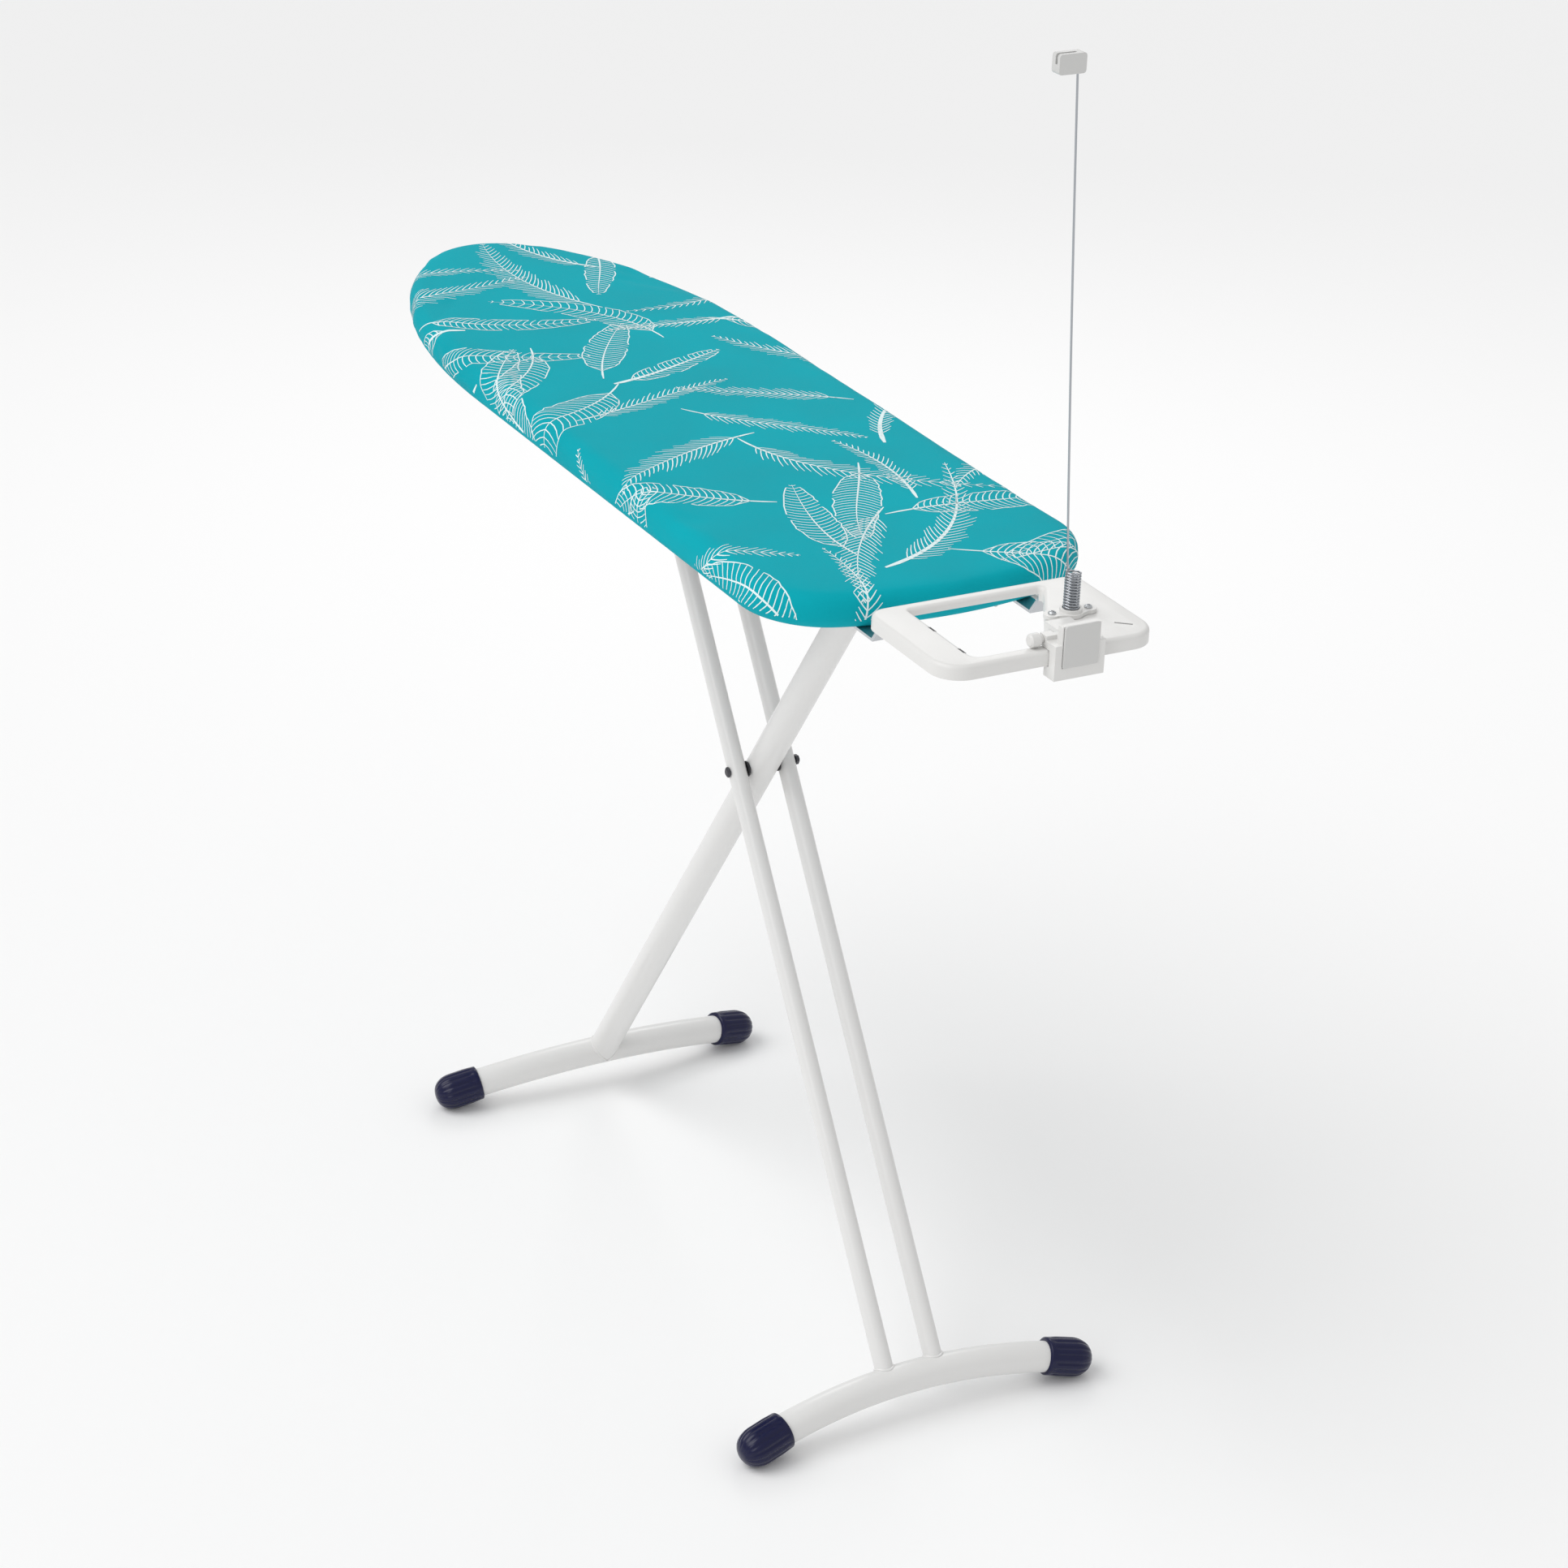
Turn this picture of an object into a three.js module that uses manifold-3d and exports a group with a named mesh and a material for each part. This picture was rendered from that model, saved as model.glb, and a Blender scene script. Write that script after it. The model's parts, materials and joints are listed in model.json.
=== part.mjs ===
// Folding ironing board with an iron rest, a cable holder mast and crossed tube legs.
// Millimetres, +Z up, +X towards the iron rest, floor at Z = 0.
import * as THREE from 'three';
import { mergeVertices } from 'three/addons/utils/BufferGeometryUtils.js';
import Module from 'manifold-3d';

const wasm = await Module();
wasm.setup();

// ---------------------------------------------------------------- driving dimensions

// Clear space left between two pieces that touch, and between a turning piece and its neighbour.
const TOUCH = 0.3;
const RUNNING = 0.45;

// Ironing surface. X is measured from the tip of the nose until the last group is placed.
const BOARD_LENGTH = 1200;
const BOARD_WIDTH = 380;
const BOARD_TOP = 980;
const BOARD_THICKNESS = 39.5;
const NOSE_LENGTH = 446;
const NOSE_POWER_X = 2.12;
const NOSE_POWER_Y = 1.91;
const END_RADIUS = 442;
const CORNER_RADIUS = 96;
const EDGE_RADIUS = 14;
const COVER_THICKNESS = 1.6;
const COVER_HEM_WIDTH = 26;
const PAD_THICKNESS = 7;

// Legs. Both frames have the same angle and length, so they cross in the middle of the legs' plan.
const LEG_ANGLE = THREE.MathUtils.degToRad(55.1);
const PIVOT_DROP = 26;
const LEG_PIVOT_SETBACK = 179;
const AXLE_SPAN = 427;
const MAIN_TUBE_RADIUS = 17.5;
const MAIN_TUBE_WALL = 1.5;
const TWIN_TUBE_RADIUS = 10.4;
const TWIN_TUBE_WALL = 1.2;
const MAIN_TUBE_END = 10;
const TWIN_TUBE_END = 10;
const FOLD_ANGLE = THREE.MathUtils.degToRad(53);

// Arched foot bars and their end caps.
const FOOT_BAR_RADIUS = 17.5;
const FOOT_BAR_WALL = 1.5;
const FOOT_HALF_SPAN = 196;
const FOOT_ARCH = 27;
const CAP_WALL = 3.24;
const CAP_SIDES = 24;
const CAP_LENGTH = 58;
const CAP_OVERLAP = 34;

// Bolts and the slide axle.
const BOLT_RADIUS = 4;
const BOLT_HEAD_RADIUS = 6;
const BOLT_HEAD_HEIGHT = 3;
const NUT_HEIGHT = 4;
const AXLE_RADIUS = 3.8;
const SPACER_RADIUS = 9;
const SPACER_LENGTH = 1.85;

// Slotted guide rails under the board.
const RAIL_HALF_SPACING = 84;
const RAIL_SHEET = 1.6;
const RAIL_HEIGHT = 39;
const RAIL_TOP_FLANGE = 17;
const RAIL_BOTTOM_FLANGE = 7;
const RAIL_END_MARGIN = 22;
const SLOT_HALF_HEIGHT = 5.6;
const SHOE_COLLAR_RADIUS = 8;
const SHOE_COLLAR_WIDTH = 2.8;

// Bracket that carries the main leg.
const BRACKET_SHEET = 2.4;
const BRACKET_LENGTH = 62;
const BRACKET_FLANGE = 18;
const BRACKET_NOSE_RADIUS = 10.5;

// Screws.
const SCREW_RADIUS = 2;
const SCREW_HEAD_RADIUS = 4.2;
const SCREW_HEAD_HEIGHT = 2.2;
const SCREW_LENGTH = 16;

// Iron rest.
const REST_GAP = 24.6;
const REST_DEPTH = 156;
const REST_WIDTH = 240;
const REST_HEIGHT = 15;
const REST_REAR_RADIUS = 20;
const REST_FRONT_RADIUS = 30;
const REST_EDGE = 3.5;
const REST_REAR_RAIL = 15;
const REST_REAR_RAIL_HEIGHT = 8;
const REST_FRONT_RAIL = 17;
const REST_SIDE_RAIL = 40.5;
const REST_PANEL_REAR = 46;
const REST_PANEL_FRONT = 96;
const REST_PANEL_STEP = 44;
const REST_SKIN = 3;

// Steel arms that carry the iron rest.
const ARM_HALF_SPACING = 90;
const ARM_WIDTH = 20;
const ARM_SHEET = 3;
const ARM_SEAT = 66;
const ARM_REACH = 74;

// Cable holder.
const SPRING_X = 88.3;
const SPRING_Y = 58.9;
const SPRING_RADIUS = 8.2;
const SPRING_WIRE = 2.2;
const SPRING_HEIGHT = 42;
const SOCKET_HEIGHT = 4;
const SOCKET_RADIUS = 13;
const SOCKET_EAR_RADIUS = 8.5;
const SOCKET_EAR_SPACING = 41;
const SOCKET_EAR_SETBACK = 1;
const SOCKET_COLLAR_HEIGHT = 3.6;
const MAST_RADIUS = 1.1;
const MAST_HEIGHT = 496;
const MAST_LEAN = -29;
const MAST_BOW = -2;
const MAST_SWING = THREE.MathUtils.degToRad(25);
const CLIP_WIDTH = 29;
const CLIP_HEIGHT = 19;
const CLIP_THICKNESS = 13;
const CLIP_OFFSET = -9;
const CLIP_SLOT = 3.4;
const HOLDER_Y = 21;
const HOLDER_WIDTH = 56;
const HOLDER_JAW = 8;
const HOLDER_FRONT = 11;
const HOLDER_DROP = 12.5;
const HOLDER_LIP = 19;
const PLATE_WIDTH = 39;
const PLATE_HEIGHT = 43;
const PLATE_RISE = 28;
const PLATE_THICKNESS = 3;
const KNOB_RADIUS = 7;
const KNOB_LENGTH = 15;

// Height release.
const LEVER_SETBACK = 12.5;
const LEVER_Y = 113;
const LEVER_DROP = 13;
const LEVER_ARM = 30;
const LEVER_REACH = 30;
const LEVER_HUB_RADIUS = 5.5;
const LEVER_HUB_WIDTH = 24;
const LOOP_WIDTH = 22;
const LOOP_BAR = 4.6;
const LEVER_PIN_RADIUS = 2.5;
const LEVER_EAR_SHEET = 1.6;
const HEIGHT_BAR_Y = 102;
const HEIGHT_BAR_SHEET = 2.4;
const HEIGHT_BAR_BELOW = 14;
const HEIGHT_BAR_ABOVE = 2.5;
const NOTCH_COUNT = 9;
const NOTCH_PITCH = 36;
const NOTCH_WIDTH = 9.4;
const BAR_TRAVEL = 10.5;
const GUIDE_WIDTH = 16;
const GUIDE_SHEET = 1.6;

// ---------------------------------------------------------------- derived places

const undersideZ = BOARD_TOP - BOARD_THICKNESS;
const coreBottomZ = undersideZ + COVER_THICKNESS + TOUCH;
const seatZ = coreBottomZ - TOUCH;
const pivotZ = coreBottomZ - PIVOT_DROP;
const spacerInner = MAIN_TUBE_RADIUS + RUNNING;
const spacerOuter = spacerInner + SPACER_LENGTH;
const twinY = spacerOuter + TOUCH + TWIN_TUBE_RADIUS;
const endCentreX = BOARD_LENGTH - END_RADIUS;
const cornerCentreY = BOARD_WIDTH / 2 - CORNER_RADIUS;
const cornerCentreX = endCentreX + Math.sqrt((END_RADIUS - CORNER_RADIUS) ** 2 - cornerCentreY ** 2);
const legPivotX = BOARD_LENGTH - LEG_PIVOT_SETBACK;
const slideAxleX = legPivotX - AXLE_SPAN;
const armHemX = boardEndX(ARM_HALF_SPACING + ARM_WIDTH / 2) - COVER_HEM_WIDTH;
const leverX = armHemX - LEVER_SETBACK;
const pivotToCross = AXLE_SPAN / 2 / Math.cos(LEG_ANGLE);
const foldedAxleX = legPivotX - 2 * pivotToCross * Math.cos(LEG_ANGLE - FOLD_ANGLE);
const restRearX = BOARD_LENGTH + REST_GAP;
const restFrontX = restRearX + REST_DEPTH;
const restBottomZ = BOARD_TOP - REST_HEIGHT;
const springX = restRearX + SPRING_X;
const springBottomZ = BOARD_TOP + SOCKET_HEIGHT + 2 * TOUCH;
const springTopZ = springBottomZ + SPRING_HEIGHT;
const plateFrontX = restFrontX + TOUCH + HOLDER_FRONT + PLATE_THICKNESS - 1;
const leverZ = coreBottomZ - LEVER_DROP;
const modelCentreX = plateFrontX / 2;

// ---------------------------------------------------------------- finishes

const finish = {
  cover: { color: 0x0aa6b5, roughness: 0.75, metalness: 0 },
  padding: { color: 0xd9d9d4, roughness: 0.95, metalness: 0 },
  core: { color: 0xd5d7d8, roughness: 0.8, metalness: 0 },
  powderCoat: { color: 0xe6e6e4, roughness: 0.32, metalness: 0 },
  whitePlastic: { color: 0xeeecea, roughness: 0.42, metalness: 0 },
  greyPlastic: { color: 0xc9c9c7, roughness: 0.45, metalness: 0 },
  navyCap: { color: 0x15163a, roughness: 0.28, metalness: 0 },
  darkPlastic: { color: 0x2b2c30, roughness: 0.5, metalness: 0 },
  zinc: { color: 0xb9bcc0, roughness: 0.35, metalness: 1 },
  chrome: { color: 0xd8dbe0, roughness: 0.12, metalness: 1 },
  darkSteel: { color: 0x3a3b40, roughness: 0.4, metalness: 1 },
};

// ---------------------------------------------------------------- solid helpers

function solidOf(geometry) {
  const bare = geometry.clone();
  bare.deleteAttribute('normal');
  bare.deleteAttribute('uv');
  const merged = mergeVertices(bare, 1e-4);
  const corners = merged.index.array;
  const kept = [];
  for (let i = 0; i < corners.length; i += 3) {
    const [a, b, c] = [corners[i], corners[i + 1], corners[i + 2]];
    if (a !== b && b !== c && c !== a) kept.push(a, b, c);
  }
  const vertProperties = Float32Array.from(merged.attributes.position.array);
  if (signedVolume(vertProperties, kept) < 0) kept.reverse();
  const mesh = new wasm.Mesh({ numProp: 3, vertProperties, triVerts: Uint32Array.from(kept) });
  return new wasm.Manifold(mesh);
}

function signedVolume(places, corners) {
  const point = (i) => new THREE.Vector3(places[3 * i], places[3 * i + 1], places[3 * i + 2]);
  let volume = 0;
  for (let i = 0; i < corners.length; i += 3) {
    const [a, b, c] = [point(corners[i]), point(corners[i + 1]), point(corners[i + 2])];
    volume += a.dot(b.cross(c)) / 6;
  }
  return volume;
}

function geometryOf(solid) {
  const mesh = solid.getMesh();
  const geometry = new THREE.BufferGeometry();
  geometry.setAttribute('position', new THREE.BufferAttribute(mesh.vertProperties, 3));
  geometry.setIndex(new THREE.BufferAttribute(mesh.triVerts, 1));
  geometry.computeVertexNormals();
  return geometry;
}

function cut(geometry, ...tools) {
  return geometryOf(tools.reduce((solid, tool) => solid.subtract(solidOf(tool)), solidOf(geometry)));
}

function join(geometry, ...others) {
  return geometryOf(others.reduce((solid, other) => solid.add(solidOf(other)), solidOf(geometry)));
}

function keepInside(geometry, limit) {
  return geometryOf(solidOf(geometry).intersect(solidOf(limit)));
}

// A box between two corners.
function block(x0, x1, y0, y1, z0, z1) {
  const box = new THREE.BoxGeometry(x1 - x0, y1 - y0, z1 - z0);
  return box.translate((x0 + x1) / 2, (y0 + y1) / 2, (z0 + z1) / 2);
}

// A profile of [radius, height] pairs turned about Z.
function turned(profile, sides = 24) {
  const points = profile.map(([radius, height]) => new THREE.Vector2(radius, height));
  const lathe = new THREE.LatheGeometry(points, sides);
  lathe.rotateX(Math.PI / 2);
  return geometryOf(solidOf(lathe));
}

function rod(radius, z0, z1, sides = 20) {
  return turned([[0, z0], [radius, z0], [radius, z1], [0, z1]], sides);
}

function pipe(outer, inner, z0, z1, sides = 24) {
  return turned([[inner, z0], [outer, z0], [outer, z1], [inner, z1], [inner, z0]], sides);
}

// Lays a Z-aligned piece along Y.
function acrossY(geometry) {
  return geometry.rotateX(-Math.PI / 2);
}

function plateXY(shape, z0, z1, round = 0, segments = 2) {
  const bevel = {
    bevelEnabled: round > 0,
    bevelThickness: round,
    bevelSize: round,
    bevelOffset: -round,
    bevelSegments: segments,
  };
  const plate = new THREE.ExtrudeGeometry(shape, { depth: z1 - z0 - 2 * round, curveSegments: 8, ...bevel });
  return plate.translate(0, 0, z0 + round);
}

// A side outline in X and Z, extruded across Y.
function plateXZ(shape, y0, y1, curveSegments = 6) {
  const plate = new THREE.ExtrudeGeometry(shape, { depth: y1 - y0, bevelEnabled: false, curveSegments });
  return plate.rotateX(Math.PI / 2).translate(0, y1, 0);
}

// An end-on outline in Y and Z, extruded along X.
function plateYZ(shape, x0, x1) {
  const plate = new THREE.ExtrudeGeometry(shape, { depth: x1 - x0, bevelEnabled: false, curveSegments: 6 });
  const turn = new THREE.Matrix4().makeBasis(
    new THREE.Vector3(0, 1, 0),
    new THREE.Vector3(0, 0, 1),
    new THREE.Vector3(1, 0, 0),
  );
  return plate.applyMatrix4(turn).translate(x0, 0, 0);
}

function polygon(corners) {
  return new THREE.Shape(corners.map(([x, y]) => new THREE.Vector2(x, y)));
}

// A closed outline whose corners, given as [x, y, radius], are rounded with arcs.
function roundedOutline(corners, arcSteps = 6) {
  const points = [];
  corners.forEach(([x, y, radius], i) => {
    const here = new THREE.Vector2(x, y);
    const before = new THREE.Vector2(...corners.at(i - 1)).sub(here).normalize();
    const after = new THREE.Vector2(...corners[(i + 1) % corners.length]).sub(here).normalize();
    if (radius <= 0) {
      points.push(here);
      return;
    }
    const half = Math.acos(before.dot(after)) / 2;
    const middle = before.clone().add(after).normalize();
    const centre = here.clone().addScaledVector(middle, radius / Math.sin(half));
    const start = here.clone().addScaledVector(before, radius / Math.tan(half)).sub(centre);
    const sweep = (2 * half - Math.PI) * Math.sign(before.cross(after));
    for (let step = 0; step <= arcSteps; step += 1) {
      points.push(start.clone().rotateAround(new THREE.Vector2(), (sweep * step) / arcSteps).add(centre));
    }
  });
  return new THREE.Shape(points);
}

function placeMesh(parent, name, geometry, look, position = [0, 0, 0]) {
  const mesh = new THREE.Mesh(geometry, new THREE.MeshStandardMaterial(look));
  mesh.name = name;
  mesh.position.set(...position);
  parent.add(mesh);
  return mesh;
}

// ---------------------------------------------------------------- board, padding and cover

// Half of the plan outline from the nose tip to the wide end, with outward normals.
function halfOutline() {
  const points = [];
  const noseSteps = 18;
  for (let i = 0; i <= noseSteps; i += 1) {
    const angle = (i / noseSteps) * (Math.PI / 2);
    const x = NOSE_LENGTH * (1 - Math.cos(angle) ** (2 / NOSE_POWER_X));
    points.push(new THREE.Vector2(x, (BOARD_WIDTH / 2) * Math.sin(angle) ** (2 / NOSE_POWER_Y)));
  }
  const endAngle = Math.atan2(cornerCentreY, cornerCentreX - endCentreX);
  const cornerSteps = 9;
  for (let i = 0; i <= cornerSteps; i += 1) {
    const angle = Math.PI / 2 + (i / cornerSteps) * (endAngle - Math.PI / 2);
    const x = cornerCentreX + CORNER_RADIUS * Math.cos(angle);
    points.push(new THREE.Vector2(x, cornerCentreY + CORNER_RADIUS * Math.sin(angle)));
  }
  const endSteps = 4;
  for (let i = 1; i <= endSteps; i += 1) {
    const angle = endAngle * (1 - i / endSteps);
    points.push(new THREE.Vector2(endCentreX + END_RADIUS * Math.cos(angle), END_RADIUS * Math.sin(angle)));
  }
  return points;
}

// The plan outline of the board, moved inwards by a given distance.
function boardOutline(inset) {
  const half = halfOutline();
  const other = half.slice(1, -1).reverse().map((point) => new THREE.Vector2(point.x, -point.y));
  const loop = [...half, ...other];
  const moved = loop.map((point, i) => {
    const along = loop[(i + 1) % loop.length].clone().sub(loop.at(i - 1)).normalize();
    return new THREE.Vector2(point.x + along.y * inset, point.y - along.x * inset);
  });
  return new THREE.Shape(moved);
}

function screwHole(x, y) {
  return rod(SCREW_RADIUS + TOUCH, seatZ - 10, seatZ + SCREW_LENGTH + 2, 12).translate(x, y, 0);
}

function buildBoard(group, screwPlaces) {
  const inner = COVER_THICKNESS + TOUCH;
  const innerEdge = EDGE_RADIUS - inner;
  const filling = plateXY(boardOutline(inner), coreBottomZ, BOARD_TOP - inner, innerEdge);
  const seamZ = BOARD_TOP - inner - PAD_THICKNESS;
  const reach = BOARD_LENGTH + BOARD_WIDTH;
  const below = block(-reach, reach, -reach, reach, 0, seamZ - TOUCH);
  const above = block(-reach, reach, -reach, reach, seamZ, 2 * BOARD_TOP);
  const holes = screwPlaces.map(([x, y]) => screwHole(x, y));
  placeMesh(group, 'board_core', cut(keepInside(filling, below), ...holes), finish.core);
  placeMesh(group, 'foam_pad', keepInside(filling, above), finish.padding);

  const outside = plateXY(boardOutline(0), undersideZ, BOARD_TOP, EDGE_RADIUS);
  const wall = COVER_THICKNESS;
  const hollow = plateXY(boardOutline(wall), undersideZ + wall, BOARD_TOP - wall, EDGE_RADIUS - wall);
  const opening = plateXY(boardOutline(COVER_HEM_WIDTH), undersideZ - 1, coreBottomZ + 1);
  placeMesh(group, 'board_cover', cut(outside, hollow, opening), finish.cover);
}

// ---------------------------------------------------------------- screws and bolts

// A pan-head wood screw that points up, with its head under a sheet whose lower face is at Z = 0.
function screw() {
  return turned([
    [0, -TOUCH - SCREW_HEAD_HEIGHT],
    [SCREW_HEAD_RADIUS * 0.7, -TOUCH - SCREW_HEAD_HEIGHT],
    [SCREW_HEAD_RADIUS, -TOUCH - SCREW_HEAD_HEIGHT * 0.4],
    [SCREW_HEAD_RADIUS, -TOUCH],
    [SCREW_RADIUS, -TOUCH],
    [SCREW_RADIUS, SCREW_LENGTH - 3],
    [0, SCREW_LENGTH],
  ], 12);
}

// A bolt along +Y with a domed head at its low end; faceLow and faceHigh are what it clamps.
function crossBolt(faceLow, faceHigh) {
  const head = faceLow - TOUCH;
  const tip = faceHigh + TOUCH + NUT_HEIGHT + 1;
  return acrossY(turned([
    [0, head - BOLT_HEAD_HEIGHT],
    [BOLT_HEAD_RADIUS * 0.6, head - BOLT_HEAD_HEIGHT],
    [BOLT_HEAD_RADIUS, head - BOLT_HEAD_HEIGHT * 0.5],
    [BOLT_HEAD_RADIUS, head],
    [BOLT_RADIUS, head],
    [BOLT_RADIUS, tip],
    [0, tip],
  ], 20));
}

function crossNut(faceHigh) {
  const base = faceHigh + TOUCH;
  const bore = rod(BOLT_RADIUS + TOUCH, base - 1, base + NUT_HEIGHT + 1);
  return acrossY(cut(rod(BOLT_HEAD_RADIUS, base, base + NUT_HEIGHT, 6), bore));
}

// ---------------------------------------------------------------- guide rails

function buildRails(group) {
  const x0 = foldedAxleX - RAIL_END_MARGIN;
  const x1 = slideAxleX + RAIL_END_MARGIN;
  const z0 = seatZ - RAIL_HEIGHT;
  const inner = RAIL_HALF_SPACING;
  const outline = polygon([
    [inner, z0],
    [inner + RAIL_BOTTOM_FLANGE, z0],
    [inner + RAIL_BOTTOM_FLANGE, z0 + RAIL_SHEET],
    [inner + RAIL_SHEET, z0 + RAIL_SHEET],
    [inner + RAIL_SHEET, seatZ - RAIL_SHEET],
    [inner + RAIL_TOP_FLANGE, seatZ - RAIL_SHEET],
    [inner + RAIL_TOP_FLANGE, seatZ],
    [inner, seatZ],
  ]);
  const slot = new THREE.Shape();
  slot.absarc(slideAxleX + 1, pivotZ, SLOT_HALF_HEIGHT, -Math.PI / 2, Math.PI / 2, false);
  slot.absarc(foldedAxleX - 1, pivotZ, SLOT_HALF_HEIGHT, Math.PI / 2, (3 * Math.PI) / 2, false);
  const screwY = inner + RAIL_TOP_FLANGE / 2 + 1;
  const screwXs = [x0 + 40, x1 - 40];
  const rail = cut(
    plateYZ(outline, x0, x1),
    plateXZ(slot, inner - 1, inner + RAIL_SHEET + 1),
    ...screwXs.map((x) => screwHole(x, screwY)),
  );
  placeMesh(group, 'slide_rail_right', rail, finish.zinc);
  placeMesh(group, 'slide_rail_left', mirroredY(rail), finish.zinc);
  return [screwXs[0], screwXs[1]].flatMap((x) => [[x, screwY, RAIL_SHEET], [x, -screwY, RAIL_SHEET]]);
}

function mirroredY(geometry) {
  const mirrored = geometry.clone().scale(1, -1, 1);
  return geometryOf(solidOf(mirrored));
}

// ---------------------------------------------------------------- bracket of the main leg

function buildLegBracket(group) {
  const inside = MAIN_TUBE_RADIUS + RUNNING + 1;
  const outside = inside + BRACKET_SHEET;
  const x0 = legPivotX - BRACKET_LENGTH / 2;
  const x1 = legPivotX + BRACKET_LENGTH / 2;
  const base = block(x0, x1, -outside - BRACKET_FLANGE, outside + BRACKET_FLANGE, seatZ - BRACKET_SHEET, seatZ);
  const cheek = new THREE.Shape();
  cheek.moveTo(x0 + 4, seatZ - BRACKET_SHEET / 2);
  cheek.lineTo(legPivotX - BRACKET_NOSE_RADIUS, pivotZ);
  cheek.absarc(legPivotX, pivotZ, BRACKET_NOSE_RADIUS, Math.PI, 2 * Math.PI, false);
  cheek.lineTo(x1 - 4, seatZ - BRACKET_SHEET / 2);
  const screwY = outside + BRACKET_FLANGE / 2;
  const places = [x0 + 12, x1 - 12].flatMap((x) => [[x, screwY, BRACKET_SHEET], [x, -screwY, BRACKET_SHEET]]);
  const hole = acrossY(rod(BOLT_RADIUS + TOUCH, -outside - 1, outside + 1)).translate(legPivotX, 0, pivotZ);
  const bracket = cut(
    join(base, plateXZ(cheek, inside, outside), plateXZ(cheek, -outside, -inside)),
    hole,
    ...places.map(([x, y]) => screwHole(x, y)),
  );
  placeMesh(group, 'leg_bracket', bracket, finish.zinc);
  const pivot = [legPivotX, 0, pivotZ];
  placeMesh(group, 'leg_pivot_bolt', crossBolt(-outside, outside), finish.darkSteel, pivot);
  placeMesh(group, 'leg_pivot_nut', crossNut(outside), finish.darkSteel, pivot);
  return places;
}

// ---------------------------------------------------------------- legs

// The centre line of an arched foot bar, from the low left end over the middle to the right end.
class ArchCurve extends THREE.Curve {
  constructor(halfSpan, rise) {
    super();
    this.radius = (halfSpan ** 2 + rise ** 2) / (2 * rise);
    this.halfAngle = Math.asin(halfSpan / this.radius);
  }

  getPoint(t, target = new THREE.Vector3()) {
    const angle = (2 * t - 1) * this.halfAngle;
    return target.set(0, this.radius * Math.sin(angle), this.radius * (Math.cos(angle) - 1));
  }
}

function sweptBar(curve, outer, inner, steps, sides) {
  const section = new THREE.Shape();
  section.absarc(0, 0, outer, 0, 2 * Math.PI, false);
  if (inner > 0) {
    const bore = new THREE.Path();
    bore.absarc(0, 0, inner, 0, 2 * Math.PI, true);
    section.holes.push(bore);
  }
  const settings = { steps, extrudePath: curve, curveSegments: sides, bevelEnabled: false };
  return new THREE.ExtrudeGeometry(section, settings);
}

const footArch = new ArchCurve(FOOT_HALF_SPAN, FOOT_ARCH);

function footBar(clearance = 0) {
  const inner = clearance > 0 ? 0 : FOOT_BAR_RADIUS - FOOT_BAR_WALL;
  return sweptBar(footArch, FOOT_BAR_RADIUS + clearance, inner, 16, 12);
}

// A round-nosed cap that slips over one end of the foot bar. side is 1 for the right end.
function footCap(side) {
  const bow = CAP_OVERLAP ** 2 / (2 * footArch.radius);
  const bore = (FOOT_BAR_RADIUS + TOUCH + bow) / Math.cos(Math.PI / CAP_SIDES);
  const outer = bore + CAP_WALL;
  const nose = CAP_LENGTH - CAP_OVERLAP;
  const cap = turned([
    [bore, -CAP_OVERLAP],
    [outer - 1.4, -CAP_OVERLAP],
    [outer, -CAP_OVERLAP * 0.6],
    [outer, nose * 0.1],
    [outer * 0.94, nose * 0.45],
    [outer * 0.74, nose * 0.78],
    [outer * 0.4, nose * 0.96],
    [0, nose],
    [0, TOUCH],
    [bore, TOUCH],
    [bore, -CAP_OVERLAP],
  ], CAP_SIDES);
  const end = footArch.getPoint(side > 0 ? 1 : 0);
  const outwards = footArch.getTangent(side > 0 ? 1 : 0).multiplyScalar(side);
  const turn = new THREE.Quaternion().setFromUnitVectors(new THREE.Vector3(0, 0, 1), outwards);
  return cap.applyQuaternion(turn).translate(0, end.y, end.z);
}

// How far the lowest point of a foot lies below the middle of its bar, with the leg standing.
function footDepth() {
  const standing = footCap(1).clone().rotateY(Math.PI / 2 - LEG_ANGLE);
  standing.computeBoundingBox();
  return -standing.boundingBox.min.z;
}

const legLength = (pivotZ - footDepth()) / Math.sin(LEG_ANGLE);

function addFoot(group, prefix) {
  const foot = new THREE.Group();
  foot.position.z = -legLength;
  placeMesh(foot, `${prefix}_foot_bar`, footBar(), finish.powderCoat);
  placeMesh(foot, `${prefix}_foot_cap_left`, footCap(-1), finish.navyCap);
  placeMesh(foot, `${prefix}_foot_cap_right`, footCap(1), finish.navyCap);
  group.add(foot);
}

// A tube from above its pivot down to the foot bar, shaped to the bar and drilled for its pivots.
function legTube(radius, wall, above, y, holes) {
  const tube = pipe(radius, radius - wall, -legLength, above, 24).translate(0, y, 0);
  const saddle = footBar(TOUCH).translate(0, 0, -legLength);
  const drills = holes.map(([z, r]) => acrossY(rod(r, -radius - 1, radius + 1)).translate(0, y, z));
  return cut(tube, saddle, ...drills);
}

function buildMainLeg(model) {
  const leg = new THREE.Group();
  leg.position.set(legPivotX, 0, pivotZ);
  leg.rotation.y = Math.PI / 2 - LEG_ANGLE;
  const boltHole = BOLT_RADIUS + RUNNING;
  const holes = [[0, boltHole], [-pivotToCross, boltHole]];
  const tube = legTube(MAIN_TUBE_RADIUS, MAIN_TUBE_WALL, MAIN_TUBE_END, 0, holes);
  placeMesh(leg, 'main_leg', tube, finish.powderCoat);
  addFoot(leg, 'main');
  model.add(leg);
}

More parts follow.
